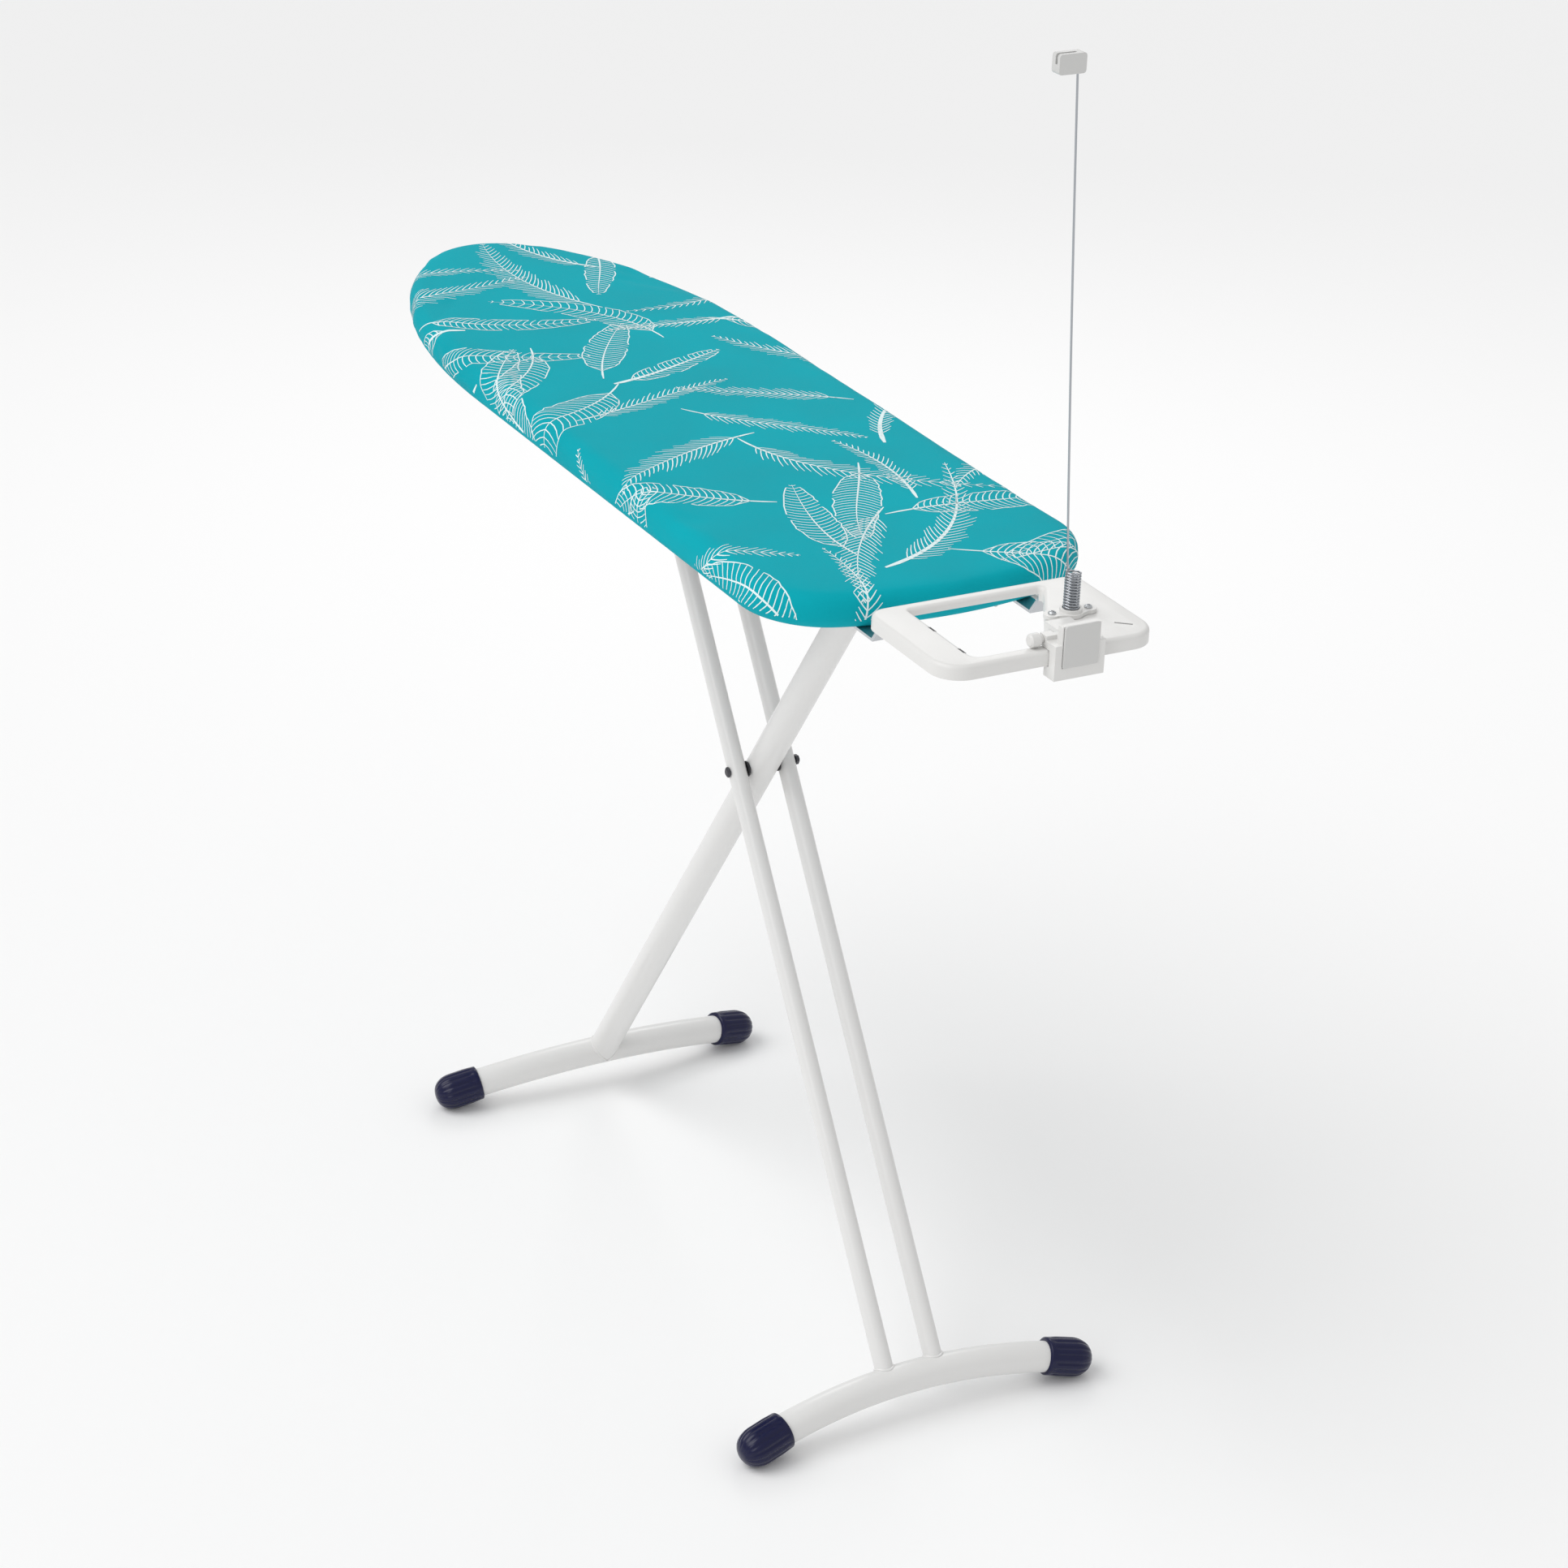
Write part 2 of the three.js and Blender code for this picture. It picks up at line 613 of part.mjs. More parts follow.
function buildTwinLegs(model) {
  const legs = new THREE.Group();
  legs.position.set(slideAxleX, 0, pivotZ);
  legs.rotation.y = LEG_ANGLE - Math.PI / 2;
  const holes = [[0, AXLE_RADIUS + RUNNING], [-pivotToCross, BOLT_RADIUS + TOUCH]];
  for (const [name, side] of [['twin_leg_left', -1], ['twin_leg_right', 1]]) {
    const tube = legTube(TWIN_TUBE_RADIUS, TWIN_TUBE_WALL, TWIN_TUBE_END, side * twinY, holes);
    placeMesh(legs, name, tube, finish.powderCoat);
  }
  addFoot(legs, 'twin');

  const cross = new THREE.Group();
  cross.position.z = -pivotToCross;
  const outerFace = twinY + TWIN_TUBE_RADIUS;
  placeMesh(cross, 'cross_bolt', crossBolt(-outerFace, outerFace), finish.darkSteel);
  placeMesh(cross, 'cross_nut', crossNut(outerFace), finish.darkSteel);
  const spacer = () => acrossY(pipe(SPACER_RADIUS, BOLT_RADIUS + TOUCH, spacerInner, spacerOuter));
  placeMesh(cross, 'cross_spacer_right', spacer(), finish.darkPlastic);
  placeMesh(cross, 'cross_spacer_left', mirroredY(spacer()), finish.darkPlastic);
  legs.add(cross);
  model.add(legs);
}

function slideShoe() {
  const inner = RAIL_HALF_SPACING - RUNNING;
  const outer = RAIL_HALF_SPACING + RAIL_SHEET + RUNNING;
  const neck = SLOT_HALF_HEIGHT - RUNNING;
  const bore = AXLE_RADIUS + TOUCH;
  return acrossY(turned([
    [bore, inner - SHOE_COLLAR_WIDTH],
    [SHOE_COLLAR_RADIUS, inner - SHOE_COLLAR_WIDTH],
    [SHOE_COLLAR_RADIUS, inner],
    [neck, inner],
    [neck, outer],
    [SHOE_COLLAR_RADIUS, outer],
    [SHOE_COLLAR_RADIUS, outer + SHOE_COLLAR_WIDTH],
    [bore, outer + SHOE_COLLAR_WIDTH],
    [bore, inner - SHOE_COLLAR_WIDTH],
  ], 16));
}

function buildSlider(model) {
  const slider = new THREE.Group();
  slider.position.set(slideAxleX, 0, pivotZ);
  const shoeEnd = RAIL_HALF_SPACING + RAIL_SHEET + RUNNING + SHOE_COLLAR_WIDTH + TOUCH;
  const rightEnd = HEIGHT_BAR_Y - HEIGHT_BAR_SHEET / 2 - RUNNING;
  const capOuter = 6;
  const capLength = 5;
  const axle = acrossY(rod(AXLE_RADIUS, -shoeEnd - capLength, rightEnd));
  placeMesh(slider, 'slide_axle', axle, finish.zinc);
  const cap = acrossY(pipe(capOuter, AXLE_RADIUS + TOUCH, -shoeEnd - capLength, -shoeEnd, 16));
  placeMesh(slider, 'axle_cap', cap, finish.darkPlastic);
  placeMesh(slider, 'slide_shoe_right', slideShoe(), finish.darkPlastic);
  placeMesh(slider, 'slide_shoe_left', mirroredY(slideShoe()), finish.darkPlastic);
  model.add(slider);
}

// ---------------------------------------------------------------- iron rest

function restOpening(grow = 0) {
  const half = REST_WIDTH / 2;
  const rear = restRearX + REST_REAR_RAIL - grow;
  const front = restFrontX - REST_FRONT_RAIL + grow;
  const left = -half + REST_SIDE_RAIL - grow;
  const panelFront = half - REST_PANEL_FRONT + grow;
  return roundedOutline([
    [rear, left, 4],
    [front, left, 9],
    [front, panelFront, 6],
    [front - REST_PANEL_STEP, panelFront + 2, 12],
    [rear, half - REST_PANEL_REAR + grow, 5],
  ]);
}

function restOutline(inset = 0) {
  const half = REST_WIDTH / 2 - inset;
  const rear = restRearX + inset;
  const front = restFrontX - inset;
  return roundedOutline([
    [rear, -half, REST_REAR_RADIUS - inset],
    [front, -half, REST_FRONT_RADIUS - inset],
    [front, half, REST_FRONT_RADIUS - inset],
    [rear, half, REST_REAR_RADIUS - inset],
  ]);
}

function buildIronRest(group, screwPlaces) {
  const slab = plateXY(restOutline(), restBottomZ - REST_EDGE, BOARD_TOP, REST_EDGE);
  const floorCut = block(restRearX - 5, restFrontX + 5, -REST_WIDTH, REST_WIDTH, restBottomZ - 20, restBottomZ);
  const opening = plateXY(restOpening(), restBottomZ - 10, BOARD_TOP + 10);
  const half = REST_WIDTH / 2;
  const railZ = BOARD_TOP - REST_REAR_RAIL_HEIGHT;
  const rearX = restRearX + REST_REAR_RAIL + 1;
  const railTop = half - REST_PANEL_REAR;
  const rearCut = block(restRearX - 5, rearX, REST_SIDE_RAIL - half, railTop, restBottomZ - 1, railZ);
  const pocketX = restRearX + ARM_REACH + 4;
  const pocket = cut(
    plateXY(restOutline(REST_SKIN), restBottomZ - 10, BOARD_TOP - REST_SKIN),
    plateXY(restOpening(REST_SKIN), restBottomZ - 20, BOARD_TOP + 10),
    block(restRearX - 5, pocketX, -REST_WIDTH, REST_WIDTH, restBottomZ - 20, BOARD_TOP),
  );
  const catchX = [0.42, 0.78].map((share) => restRearX + share * REST_DEPTH);
  const catches = catchX.map((x) => {
    const inner = REST_SIDE_RAIL - half;
    return block(x - 6, x + 6, inner - 3, inner + 1, restBottomZ - 1, BOARD_TOP + 1);
  });
  const slot = block(-9, 9, -1.3, 1.3, restBottomZ - 1, BOARD_TOP + 1);
  slot.rotateZ(0.9).translate(restFrontX - 29, half - 25, 0);
  const holes = screwPlaces.map(([x, y]) => rod(SCREW_RADIUS + TOUCH, 900, BOARD_TOP + 1, 12).translate(x, y, 0));
  placeMesh(
    group,
    'iron_rest',
    cut(slab, floorCut, opening, rearCut, pocket, ...catches, slot, ...holes),
    finish.whitePlastic,
  );
}

// A bent steel strip from under the board up to the underside of the rest.
function buildRestArms(group) {
  const seatX = armHemX - 6 - ARM_SEAT;
  const lowZ = undersideZ - TOUCH;
  const highZ = restBottomZ - TOUCH;
  const stepX = armHemX - 4;
  const riseX = restRearX - 18;
  const farX = restRearX + ARM_REACH;
  const strip = polygon([
    [seatX, seatZ],
    [stepX - 4, seatZ],
    [stepX, lowZ],
    [riseX, lowZ],
    [riseX + 18, highZ],
    [farX, highZ],
    [farX, highZ - ARM_SHEET],
    [riseX + 20, highZ - ARM_SHEET],
    [riseX + 2, lowZ - ARM_SHEET],
    [stepX - 2, lowZ - ARM_SHEET],
    [stepX - 6, seatZ - ARM_SHEET],
    [seatX, seatZ - ARM_SHEET],
  ]);
  const xs = [seatX + 10, leverX - 14];
  const places = [];
  for (const [name, side] of [['rest_arm_left', -1], ['rest_arm_right', 1]]) {
    const y = side * ARM_HALF_SPACING;
    const holes = xs.map((x) => screwHole(x, y));
    placeMesh(group, name, cut(plateXZ(strip, y - ARM_WIDTH / 2, y + ARM_WIDTH / 2), ...holes), finish.zinc);
    places.push(...xs.map((x) => [x, y, ARM_SHEET]));
  }
  return places;
}

// How far the wide end of the board reaches at a given distance from its middle.
function boardEndX(y) {
  const cornerStartY = (END_RADIUS * cornerCentreY) / (END_RADIUS - CORNER_RADIUS);
  if (y <= cornerStartY) return endCentreX + Math.sqrt(END_RADIUS ** 2 - y ** 2);
  return cornerCentreX + Math.sqrt(CORNER_RADIUS ** 2 - (y - cornerCentreY) ** 2);
}

// ---------------------------------------------------------------- cable holder

function socketScrewPlaces() {
  return [-1, 1].map((side) => [springX - SOCKET_EAR_SETBACK, SPRING_Y + (side * SOCKET_EAR_SPACING) / 2]);
}

function buildSpringSocket(group) {
  const z0 = BOARD_TOP + TOUCH;
  const z1 = z0 + SOCKET_HEIGHT;
  const places = socketScrewPlaces();
  const earX = springX - SOCKET_EAR_SETBACK - SOCKET_EAR_RADIUS;
  const web = roundedOutline([
    [earX, SPRING_Y - SOCKET_EAR_SPACING / 2, 2],
    [springX + 6, SPRING_Y - SOCKET_EAR_SPACING / 2, 2],
    [springX + SOCKET_RADIUS - 1, SPRING_Y, 8],
    [springX + 6, SPRING_Y + SOCKET_EAR_SPACING / 2, 2],
    [earX, SPRING_Y + SOCKET_EAR_SPACING / 2, 2],
  ]);
  const ears = places.map(([x, y]) => rod(SOCKET_EAR_RADIUS, z0, z1, 24).translate(x, y, 0));
  const boss = rod(SOCKET_RADIUS, z0, z1, 28).translate(springX, SPRING_Y, 0);
  const collarTop = z1 + SOCKET_COLLAR_HEIGHT;
  const collar = pipe(SPRING_RADIUS + 3, SPRING_RADIUS + RUNNING, z1 - 1, collarTop, 28);
  const holes = places.map(([x, y]) => rod(SCREW_RADIUS + TOUCH, z0 - 1, z1 + 1, 12).translate(x, y, 0));
  const socket = cut(
    join(plateXY(web, z0, z1), ...ears, boss, collar.translate(springX, SPRING_Y, 0)),
    ...holes,
  );
  placeMesh(group, 'spring_socket', socket, finish.whitePlastic);
  ['socket_screw_left', 'socket_screw_right'].forEach((name, i) => {
    const geometry = screw().rotateX(Math.PI);
    placeMesh(group, name, geometry, finish.zinc, [...places[i], z1]);
  });
}

function buildCableHolder(group) {
  const y0 = HOLDER_Y - HOLDER_WIDTH / 2;
  const y1 = HOLDER_Y + HOLDER_WIDTH / 2;
  const railFront = restFrontX + TOUCH;
  const faceX = railFront + HOLDER_FRONT;
  const jawZ = BOARD_TOP + TOUCH;
  const jawTop = jawZ + HOLDER_JAW;
  const lipTop = restBottomZ - TOUCH - 1;
  const bottom = restBottomZ - HOLDER_DROP;
  const jawX = restFrontX - REST_FRONT_RAIL - 4;
  const hook = polygon([
    [jawX, jawZ],
    [railFront, jawZ],
    [railFront, lipTop],
    [faceX - HOLDER_LIP, lipTop],
    [faceX - HOLDER_LIP, bottom],
    [faceX, bottom],
    [faceX, jawTop],
    [jawX, jawTop],
  ]);
  const plateY0 = HOLDER_Y - PLATE_WIDTH / 2;
  const plateY1 = HOLDER_Y + PLATE_WIDTH / 2;
  const plateTop = BOARD_TOP + PLATE_RISE;
  const tower = block(faceX - 8, faceX, plateY0 - 2, plateY1 + 2, jawZ, plateTop - 1);
  const tongueX = springX + SOCKET_RADIUS + 1;
  const tongue = block(tongueX, railFront, HOLDER_Y, y1, jawZ, jawZ + 5);
  const recess = block(
    faceX - 1,
    faceX + 1,
    plateY0 - TOUCH,
    plateY1 + TOUCH,
    plateTop - PLATE_HEIGHT - TOUCH,
    plateTop + 5,
  );
  const knobX = jawX + KNOB_RADIUS + 1;
  const knobZ = jawZ + KNOB_RADIUS + TOUCH;
  const stemHole = acrossY(rod(2 + TOUCH, y0 - 1, y0 + 9, 12)).translate(knobX, 0, knobZ);
  const bossShape = block(knobX - 5, knobX + 7, y0, y0 + 12, jawTop - 1, knobZ + 5);
  const body = cut(join(plateXZ(hook, y0, y1), tower, tongue, bossShape), recess, stemHole);
  placeMesh(group, 'cable_holder_body', body, finish.whitePlastic);

  const plateShape = roundedOutline([
    [plateY0, plateTop - PLATE_HEIGHT, 1.5],
    [plateY1, plateTop - PLATE_HEIGHT, 1.5],
    [plateY1, plateTop, 3],
    [plateY0, plateTop, 3],
  ], 3);
  const plateX = faceX - 1 + TOUCH;
  const plate = plateYZ(plateShape, plateX, plateX + PLATE_THICKNESS - TOUCH);
  placeMesh(group, 'cable_holder_plate', plate, finish.greyPlastic);

  const knob = acrossY(turned([
    [0, y0 - TOUCH - KNOB_LENGTH],
    [KNOB_RADIUS - 2, y0 - TOUCH - KNOB_LENGTH],
    [KNOB_RADIUS, y0 - TOUCH - KNOB_LENGTH + 2],
    [KNOB_RADIUS, y0 - TOUCH - 4],
    [4, y0 - TOUCH - 4],
    [4, y0 - TOUCH],
    [2, y0 - TOUCH],
    [2, y0 + 8],
    [0, y0 + 8],
  ], 14));
  placeMesh(group, 'clamp_knob', knob, finish.whitePlastic, [knobX, 0, knobZ]);
}

function buildMast(group) {
  const spring = pipe(SPRING_RADIUS, SPRING_RADIUS - SPRING_WIRE, springBottomZ, springTopZ, 24);
  placeMesh(group, 'mast_spring', spring, finish.chrome, [springX, SPRING_Y, 0]);

  const baseY = SPRING_Y - SPRING_RADIUS + SPRING_WIRE / 2;
  const baseZ = springTopZ + TOUCH + MAST_RADIUS * Math.sin(MAST_SWING);
  const topZ = baseZ + MAST_HEIGHT;
  const topY = baseY + MAST_LEAN;
  const centreLine = new THREE.QuadraticBezierCurve3(
    new THREE.Vector3(springX, baseY, baseZ),
    new THREE.Vector3(springX, (baseY + topY) / 2 + MAST_BOW, (baseZ + topZ) / 2),
    new THREE.Vector3(springX, topY, topZ),
  );
  placeMesh(group, 'mast_wire', sweptBar(centreLine, MAST_RADIUS, 0, 12, 8), finish.chrome);

  const clipY = topY + CLIP_OFFSET;
  const clipZ0 = topZ - 8;
  const face = roundedOutline([
    [clipY - CLIP_WIDTH / 2, clipZ0, 3],
    [clipY + CLIP_WIDTH / 2, clipZ0, 3],
    [clipY + CLIP_WIDTH / 2, clipZ0 + CLIP_HEIGHT, 3],
    [clipY - CLIP_WIDTH / 2, clipZ0 + CLIP_HEIGHT, 3],
  ], 3);
  const body = plateYZ(face, springX - CLIP_THICKNESS / 2, springX + CLIP_THICKNESS / 2);
  const slotX = springX - 1;
  const cableSlot = block(
    slotX,
    slotX + CLIP_SLOT,
    clipY - CLIP_WIDTH,
    clipY + CLIP_WIDTH / 2 - 8,
    clipZ0 + 9,
    clipZ0 + CLIP_HEIGHT + 5,
  );
  const socket = rod(MAST_RADIUS + 2 * TOUCH, clipZ0 - 1, topZ + TOUCH, 12).translate(springX, topY + 0.2, 0);
  placeMesh(group, 'cable_clip', cut(body, cableSlot, socket), finish.greyPlastic);
}

// ---------------------------------------------------------------- height release

function buildLeverBracket(group) {
  const top = seatZ - ARM_SHEET - TOUCH;
  const hubHalf = LEVER_HUB_WIDTH / 2;
  const earY0 = LEVER_Y - hubHalf - RUNNING - LEVER_EAR_SHEET;
  const earY1 = LEVER_Y + hubHalf + RUNNING + LEVER_EAR_SHEET;
  const screwX = leverX - 14;
  const base = block(screwX - 8, leverX + 2, ARM_HALF_SPACING - 8, earY1, top - LEVER_EAR_SHEET, top);
  const ear = new THREE.Shape();
  ear.moveTo(leverX - 8, top - 0.5);
  ear.lineTo(leverX - 5.5, leverZ);
  ear.absarc(leverX, leverZ, 5.5, Math.PI, 2 * Math.PI, false);
  ear.lineTo(leverX + 2, top - 0.5);
  const hole = acrossY(rod(LEVER_PIN_RADIUS + TOUCH, earY0 - 1, earY1 + 1, 14)).translate(leverX, 0, leverZ);
  const bracket = cut(
    join(base, plateXZ(ear, earY0, earY0 + LEVER_EAR_SHEET), plateXZ(ear, earY1 - LEVER_EAR_SHEET, earY1)),
    hole,
    screwHole(screwX, ARM_HALF_SPACING),
  );
  placeMesh(group, 'lever_bracket', bracket, finish.zinc);
  const headY = earY0 - TOUCH;
  const pin = acrossY(turned([
    [0, headY - 2],
    [LEVER_PIN_RADIUS + 1.5, headY - 2],
    [LEVER_PIN_RADIUS + 1.5, headY],
    [LEVER_PIN_RADIUS, headY],
    [LEVER_PIN_RADIUS, earY1 + 3],
    [0, earY1 + 3],
  ], 14));
  placeMesh(group, 'lever_pin', pin, finish.zinc, [leverX, 0, leverZ]);
}

// Hub, finger loop and rear arm in one moulding, built about the pin.
function buildReleaseLever(group) {
  const hubY0 = LEVER_Y - LEVER_HUB_WIDTH / 2;
  const hubY1 = LEVER_Y + LEVER_HUB_WIDTH / 2;
  const hub = acrossY(rod(LEVER_HUB_RADIUS, hubY0, hubY1, 20));
  const half = LOOP_WIDTH / 2;
  const outer = roundedOutline([
    [0, LEVER_Y - half, 1],
    [LEVER_REACH, LEVER_Y - half, 10],
    [LEVER_REACH, LEVER_Y + half, 10],
    [0, LEVER_Y + half, 1],
  ]);
  const inside = roundedOutline([
    [LEVER_HUB_RADIUS + 2, LEVER_Y - half + LOOP_BAR, 1],
    [LEVER_REACH - LOOP_BAR, LEVER_Y - half + LOOP_BAR, 5.5],
    [LEVER_REACH - LOOP_BAR, LEVER_Y + half - LOOP_BAR, 5.5],
    [LEVER_HUB_RADIUS + 2, LEVER_Y + half - LOOP_BAR, 1],
  ]);
  const loop = cut(plateXY(outer, -2.5, 2.5), plateXY(inside, -5, 5));
  const armY0 = HEIGHT_BAR_Y + HEIGHT_BAR_SHEET / 2 + RUNNING;
  const arm = plateXZ(roundedOutline([
    [-LEVER_ARM - 4, -4, 3.5],
    [0, -4, 0],
    [0, 4, 0],
    [-LEVER_ARM - 4, 4, 3.5],
  ]), armY0, armY0 + 3.5);
  const bore = acrossY(rod(LEVER_PIN_RADIUS + RUNNING, hubY0 - 1, hubY1 + 1, 14));
  const coilRoom = acrossY(pipe(LEVER_HUB_RADIUS + 2, 3.9, LEVER_Y + 1, LEVER_Y + 9, 20));
  const lever = cut(join(hub, loop.rotateY(0.07), arm), bore, coilRoom);
  placeMesh(group, 'release_lever', lever, finish.greyPlastic, [leverX, 0, leverZ]);
  const coil = acrossY(pipe(LEVER_HUB_RADIUS - 0.2, 4.3, LEVER_Y + 1 + TOUCH, LEVER_Y + 9 - TOUCH, 20));
  placeMesh(group, 'lever_spring', coil, finish.darkSteel, [leverX, 0, leverZ]);
}

// A long flat bar whose notches hold the slide axle at each working height.
function buildHeightBar(group) {
  const low = pivotZ - HEIGHT_BAR_BELOW;
  const high = pivotZ + HEIGHT_BAR_ABOVE;
  const rackEnd = slideAxleX + RAIL_END_MARGIN;
  const rackStart = slideAxleX - (NOTCH_COUNT - 1) * NOTCH_PITCH - RAIL_END_MARGIN;
  const hookX = leverX - LEVER_ARM;
  const outline = polygon([
    [rackStart, low],
    [hookX - 10, low],
    [hookX + 6, leverZ - 7],
    [hookX + 6, leverZ + 6],
    [hookX - 8, leverZ + 6],
    [hookX - 24, high - 8],
    [rackEnd + 12, high - 8],
    [rackEnd, high],
    [rackStart, high],
  ]);
  const y0 = HEIGHT_BAR_Y - HEIGHT_BAR_SHEET / 2;
  const y1 = HEIGHT_BAR_Y + HEIGHT_BAR_SHEET / 2;
  const notches = Array.from({ length: NOTCH_COUNT }, (_, i) => {
    const x = slideAxleX - i * NOTCH_PITCH;
    const half = NOTCH_WIDTH / 2;
    const notch = polygon([
      [x - half, pivotZ - AXLE_RADIUS - 1],
      [x + half, pivotZ - AXLE_RADIUS - 1],
      [x + half + 2, high + 1],
      [x - half, high + 1],
    ]);
    return plateXZ(notch, y0 - 1, y1 + 1);
  });
  placeMesh(group, 'height_bar', cut(plateXZ(outline, y0, y1), ...notches), finish.zinc);
}

// A closed stirrup round the height bar, screwed under the board by its ear.
function buildBarGuides(group) {
  const inner0 = HEIGHT_BAR_Y - HEIGHT_BAR_SHEET / 2 - RUNNING;
  const inner1 = HEIGHT_BAR_Y + HEIGHT_BAR_SHEET / 2 + RUNNING;
  const low = pivotZ - HEIGHT_BAR_BELOW - BAR_TRAVEL - 2;
  const earY = inner1 + GUIDE_SHEET + 14;
  const places = [];
  const guideXs = { bar_guide_front: slideAxleX + RAIL_END_MARGIN + 40, bar_guide_rear: leverX - 100 };
  for (const [name, x] of Object.entries(guideXs)) {
    const x0 = x - GUIDE_WIDTH / 2;
    const x1 = x + GUIDE_WIDTH / 2;
    const frame = block(x0, x1, inner0 - GUIDE_SHEET, inner1 + GUIDE_SHEET, low - GUIDE_SHEET, seatZ);
    const window = block(x0 - 1, x1 + 1, inner0, inner1, low, seatZ - GUIDE_SHEET);
    const ear = block(x0, x1, inner1, earY, seatZ - GUIDE_SHEET, seatZ);
    const screwY = earY - 7;
    placeMesh(group, name, cut(join(frame, ear), window, screwHole(x, screwY)), finish.zinc);
    places.push([x, screwY, GUIDE_SHEET]);
  }
  return places;
}

// ---------------------------------------------------------------- assembly

function placeScrews(group, names, places, extra = 0) {
  names.forEach((name, i) => {
    const [x, y, sheet] = places[i];
    placeMesh(group, name, screw(), finish.zinc, [x, y, seatZ - sheet - extra]);
  });
}

function numbered(stem, count) {
  return Array.from({ length: count }, (_, i) => `${stem}_${i + 1}`);
}

const model = new THREE.Group();
const board = new THREE.Group();
model.add(board);

const railScrews = buildRails(board);
const bracketScrews = buildLegBracket(board);
const armScrews = buildRestArms(board);
const guideScrews = buildBarGuides(board);
buildBoard(board, [...railScrews, ...bracketScrews, ...armScrews, ...guideScrews]);
placeScrews(board, numbered('rail_screw', 4), railScrews);
placeScrews(board, numbered('bracket_screw', 4), bracketScrews);
placeScrews(board, numbered('arm_screw', 3), armScrews);
placeScrews(board, ['arm_screw_4'], armScrews.slice(3), TOUCH + LEVER_EAR_SHEET);
placeScrews(board, ['guide_screw_front', 'guide_screw_rear'], guideScrews);
buildIronRest(board, socketScrewPlaces());
buildSpringSocket(board);
buildCableHolder(board);
buildMast(board);
buildLeverBracket(board);
buildReleaseLever(board);
buildHeightBar(board);
buildMainLeg(model);
buildTwinLegs(model);
buildSlider(model);
model.position.x = -modelCentreX;

export default model;
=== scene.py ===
# %% [markdown]
# # A folding ironing board
# The solid model gives every piece its place and size, and this script gives each piece its look.
# Each step says what a piece is on the real board, how it could be made, and why this way was chosen.

# %% Load the frame
import json
import math
import random

import bmesh
import bpy
import numpy as np
from mathutils import Matrix, Vector
from mathutils.bvhtree import BVHTree
from mathutils.kdtree import KDTree


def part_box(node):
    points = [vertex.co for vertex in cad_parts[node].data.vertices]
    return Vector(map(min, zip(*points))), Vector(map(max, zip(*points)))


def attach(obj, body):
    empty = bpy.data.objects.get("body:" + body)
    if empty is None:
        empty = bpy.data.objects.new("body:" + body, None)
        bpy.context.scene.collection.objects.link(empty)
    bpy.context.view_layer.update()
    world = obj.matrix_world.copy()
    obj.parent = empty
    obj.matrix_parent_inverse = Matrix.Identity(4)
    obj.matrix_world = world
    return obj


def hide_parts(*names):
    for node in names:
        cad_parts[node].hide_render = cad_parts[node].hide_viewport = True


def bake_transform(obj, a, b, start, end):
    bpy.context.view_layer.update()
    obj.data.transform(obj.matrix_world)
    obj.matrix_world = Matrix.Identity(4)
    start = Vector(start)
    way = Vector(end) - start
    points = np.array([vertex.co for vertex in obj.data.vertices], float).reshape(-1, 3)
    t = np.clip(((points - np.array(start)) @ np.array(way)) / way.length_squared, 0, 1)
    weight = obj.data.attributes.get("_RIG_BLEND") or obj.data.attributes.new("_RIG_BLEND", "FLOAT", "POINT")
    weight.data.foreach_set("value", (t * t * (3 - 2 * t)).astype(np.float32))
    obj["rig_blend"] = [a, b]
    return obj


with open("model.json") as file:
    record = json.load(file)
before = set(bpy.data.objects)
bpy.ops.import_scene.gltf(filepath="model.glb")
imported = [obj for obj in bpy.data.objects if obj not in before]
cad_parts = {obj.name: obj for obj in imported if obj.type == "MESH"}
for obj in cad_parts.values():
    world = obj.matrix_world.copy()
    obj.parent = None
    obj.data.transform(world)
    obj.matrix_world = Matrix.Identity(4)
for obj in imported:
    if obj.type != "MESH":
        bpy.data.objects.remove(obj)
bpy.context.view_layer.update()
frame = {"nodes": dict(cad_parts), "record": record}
record = frame["record"]
body_of = {node: body for body, nodes in record["behaviour"]["bodies"].items() for node in nodes}
slot_of = {part["node"]: part["material_slot"] for part in record["subparts"]}
pivot_of = {j["name"]: Vector(j["pos_m"]) for j in record["behaviour"]["joints"] if j.get("pos_m")}
print("pieces in the frame:", len(body_of))

# %% [markdown]
# ## Finishes
# Every finish is a small node graph on Object coordinates. A noise texture varies the roughness a little
# and another one raises a fine bump, because no moulded or painted surface is perfectly even.


# %% A helper for finishes
def new_finish(name, colour, roughness, metallic=0.0, **sockets):
    material = bpy.data.materials.new(name)
    material.use_nodes = True
    shader = material.node_tree.nodes["Principled BSDF"]
    shader.inputs["Base Color"].default_value = (*colour, 1)
    shader.inputs["Roughness"].default_value = roughness
    shader.inputs["Metallic"].default_value = metallic
    for socket, value in sockets.items():
        shader.inputs[socket.replace("_", " ")].default_value = value
    return material, shader


def feed(tree, socket, value):
    """Link another node's output to a socket, or set the socket to a plain value."""
    if isinstance(value, bpy.types.NodeSocket):
        tree.links.new(value, socket)
    else:
        socket.default_value = value


def add_node(tree, kind, **inputs):
    node = tree.nodes.new(kind)
    for name, value in inputs.items():
        feed(tree, node.inputs[name.replace("_", " ")], value)
    return node


def object_place(tree, stretch=(1, 1, 1), turn=(0, 0, 0)):
    coordinates = add_node(tree, "ShaderNodeTexCoord").outputs["Object"]
    mapping = add_node(tree, "ShaderNodeMapping", Vector=coordinates, Scale=stretch, Rotation=turn)
    return mapping.outputs["Vector"]


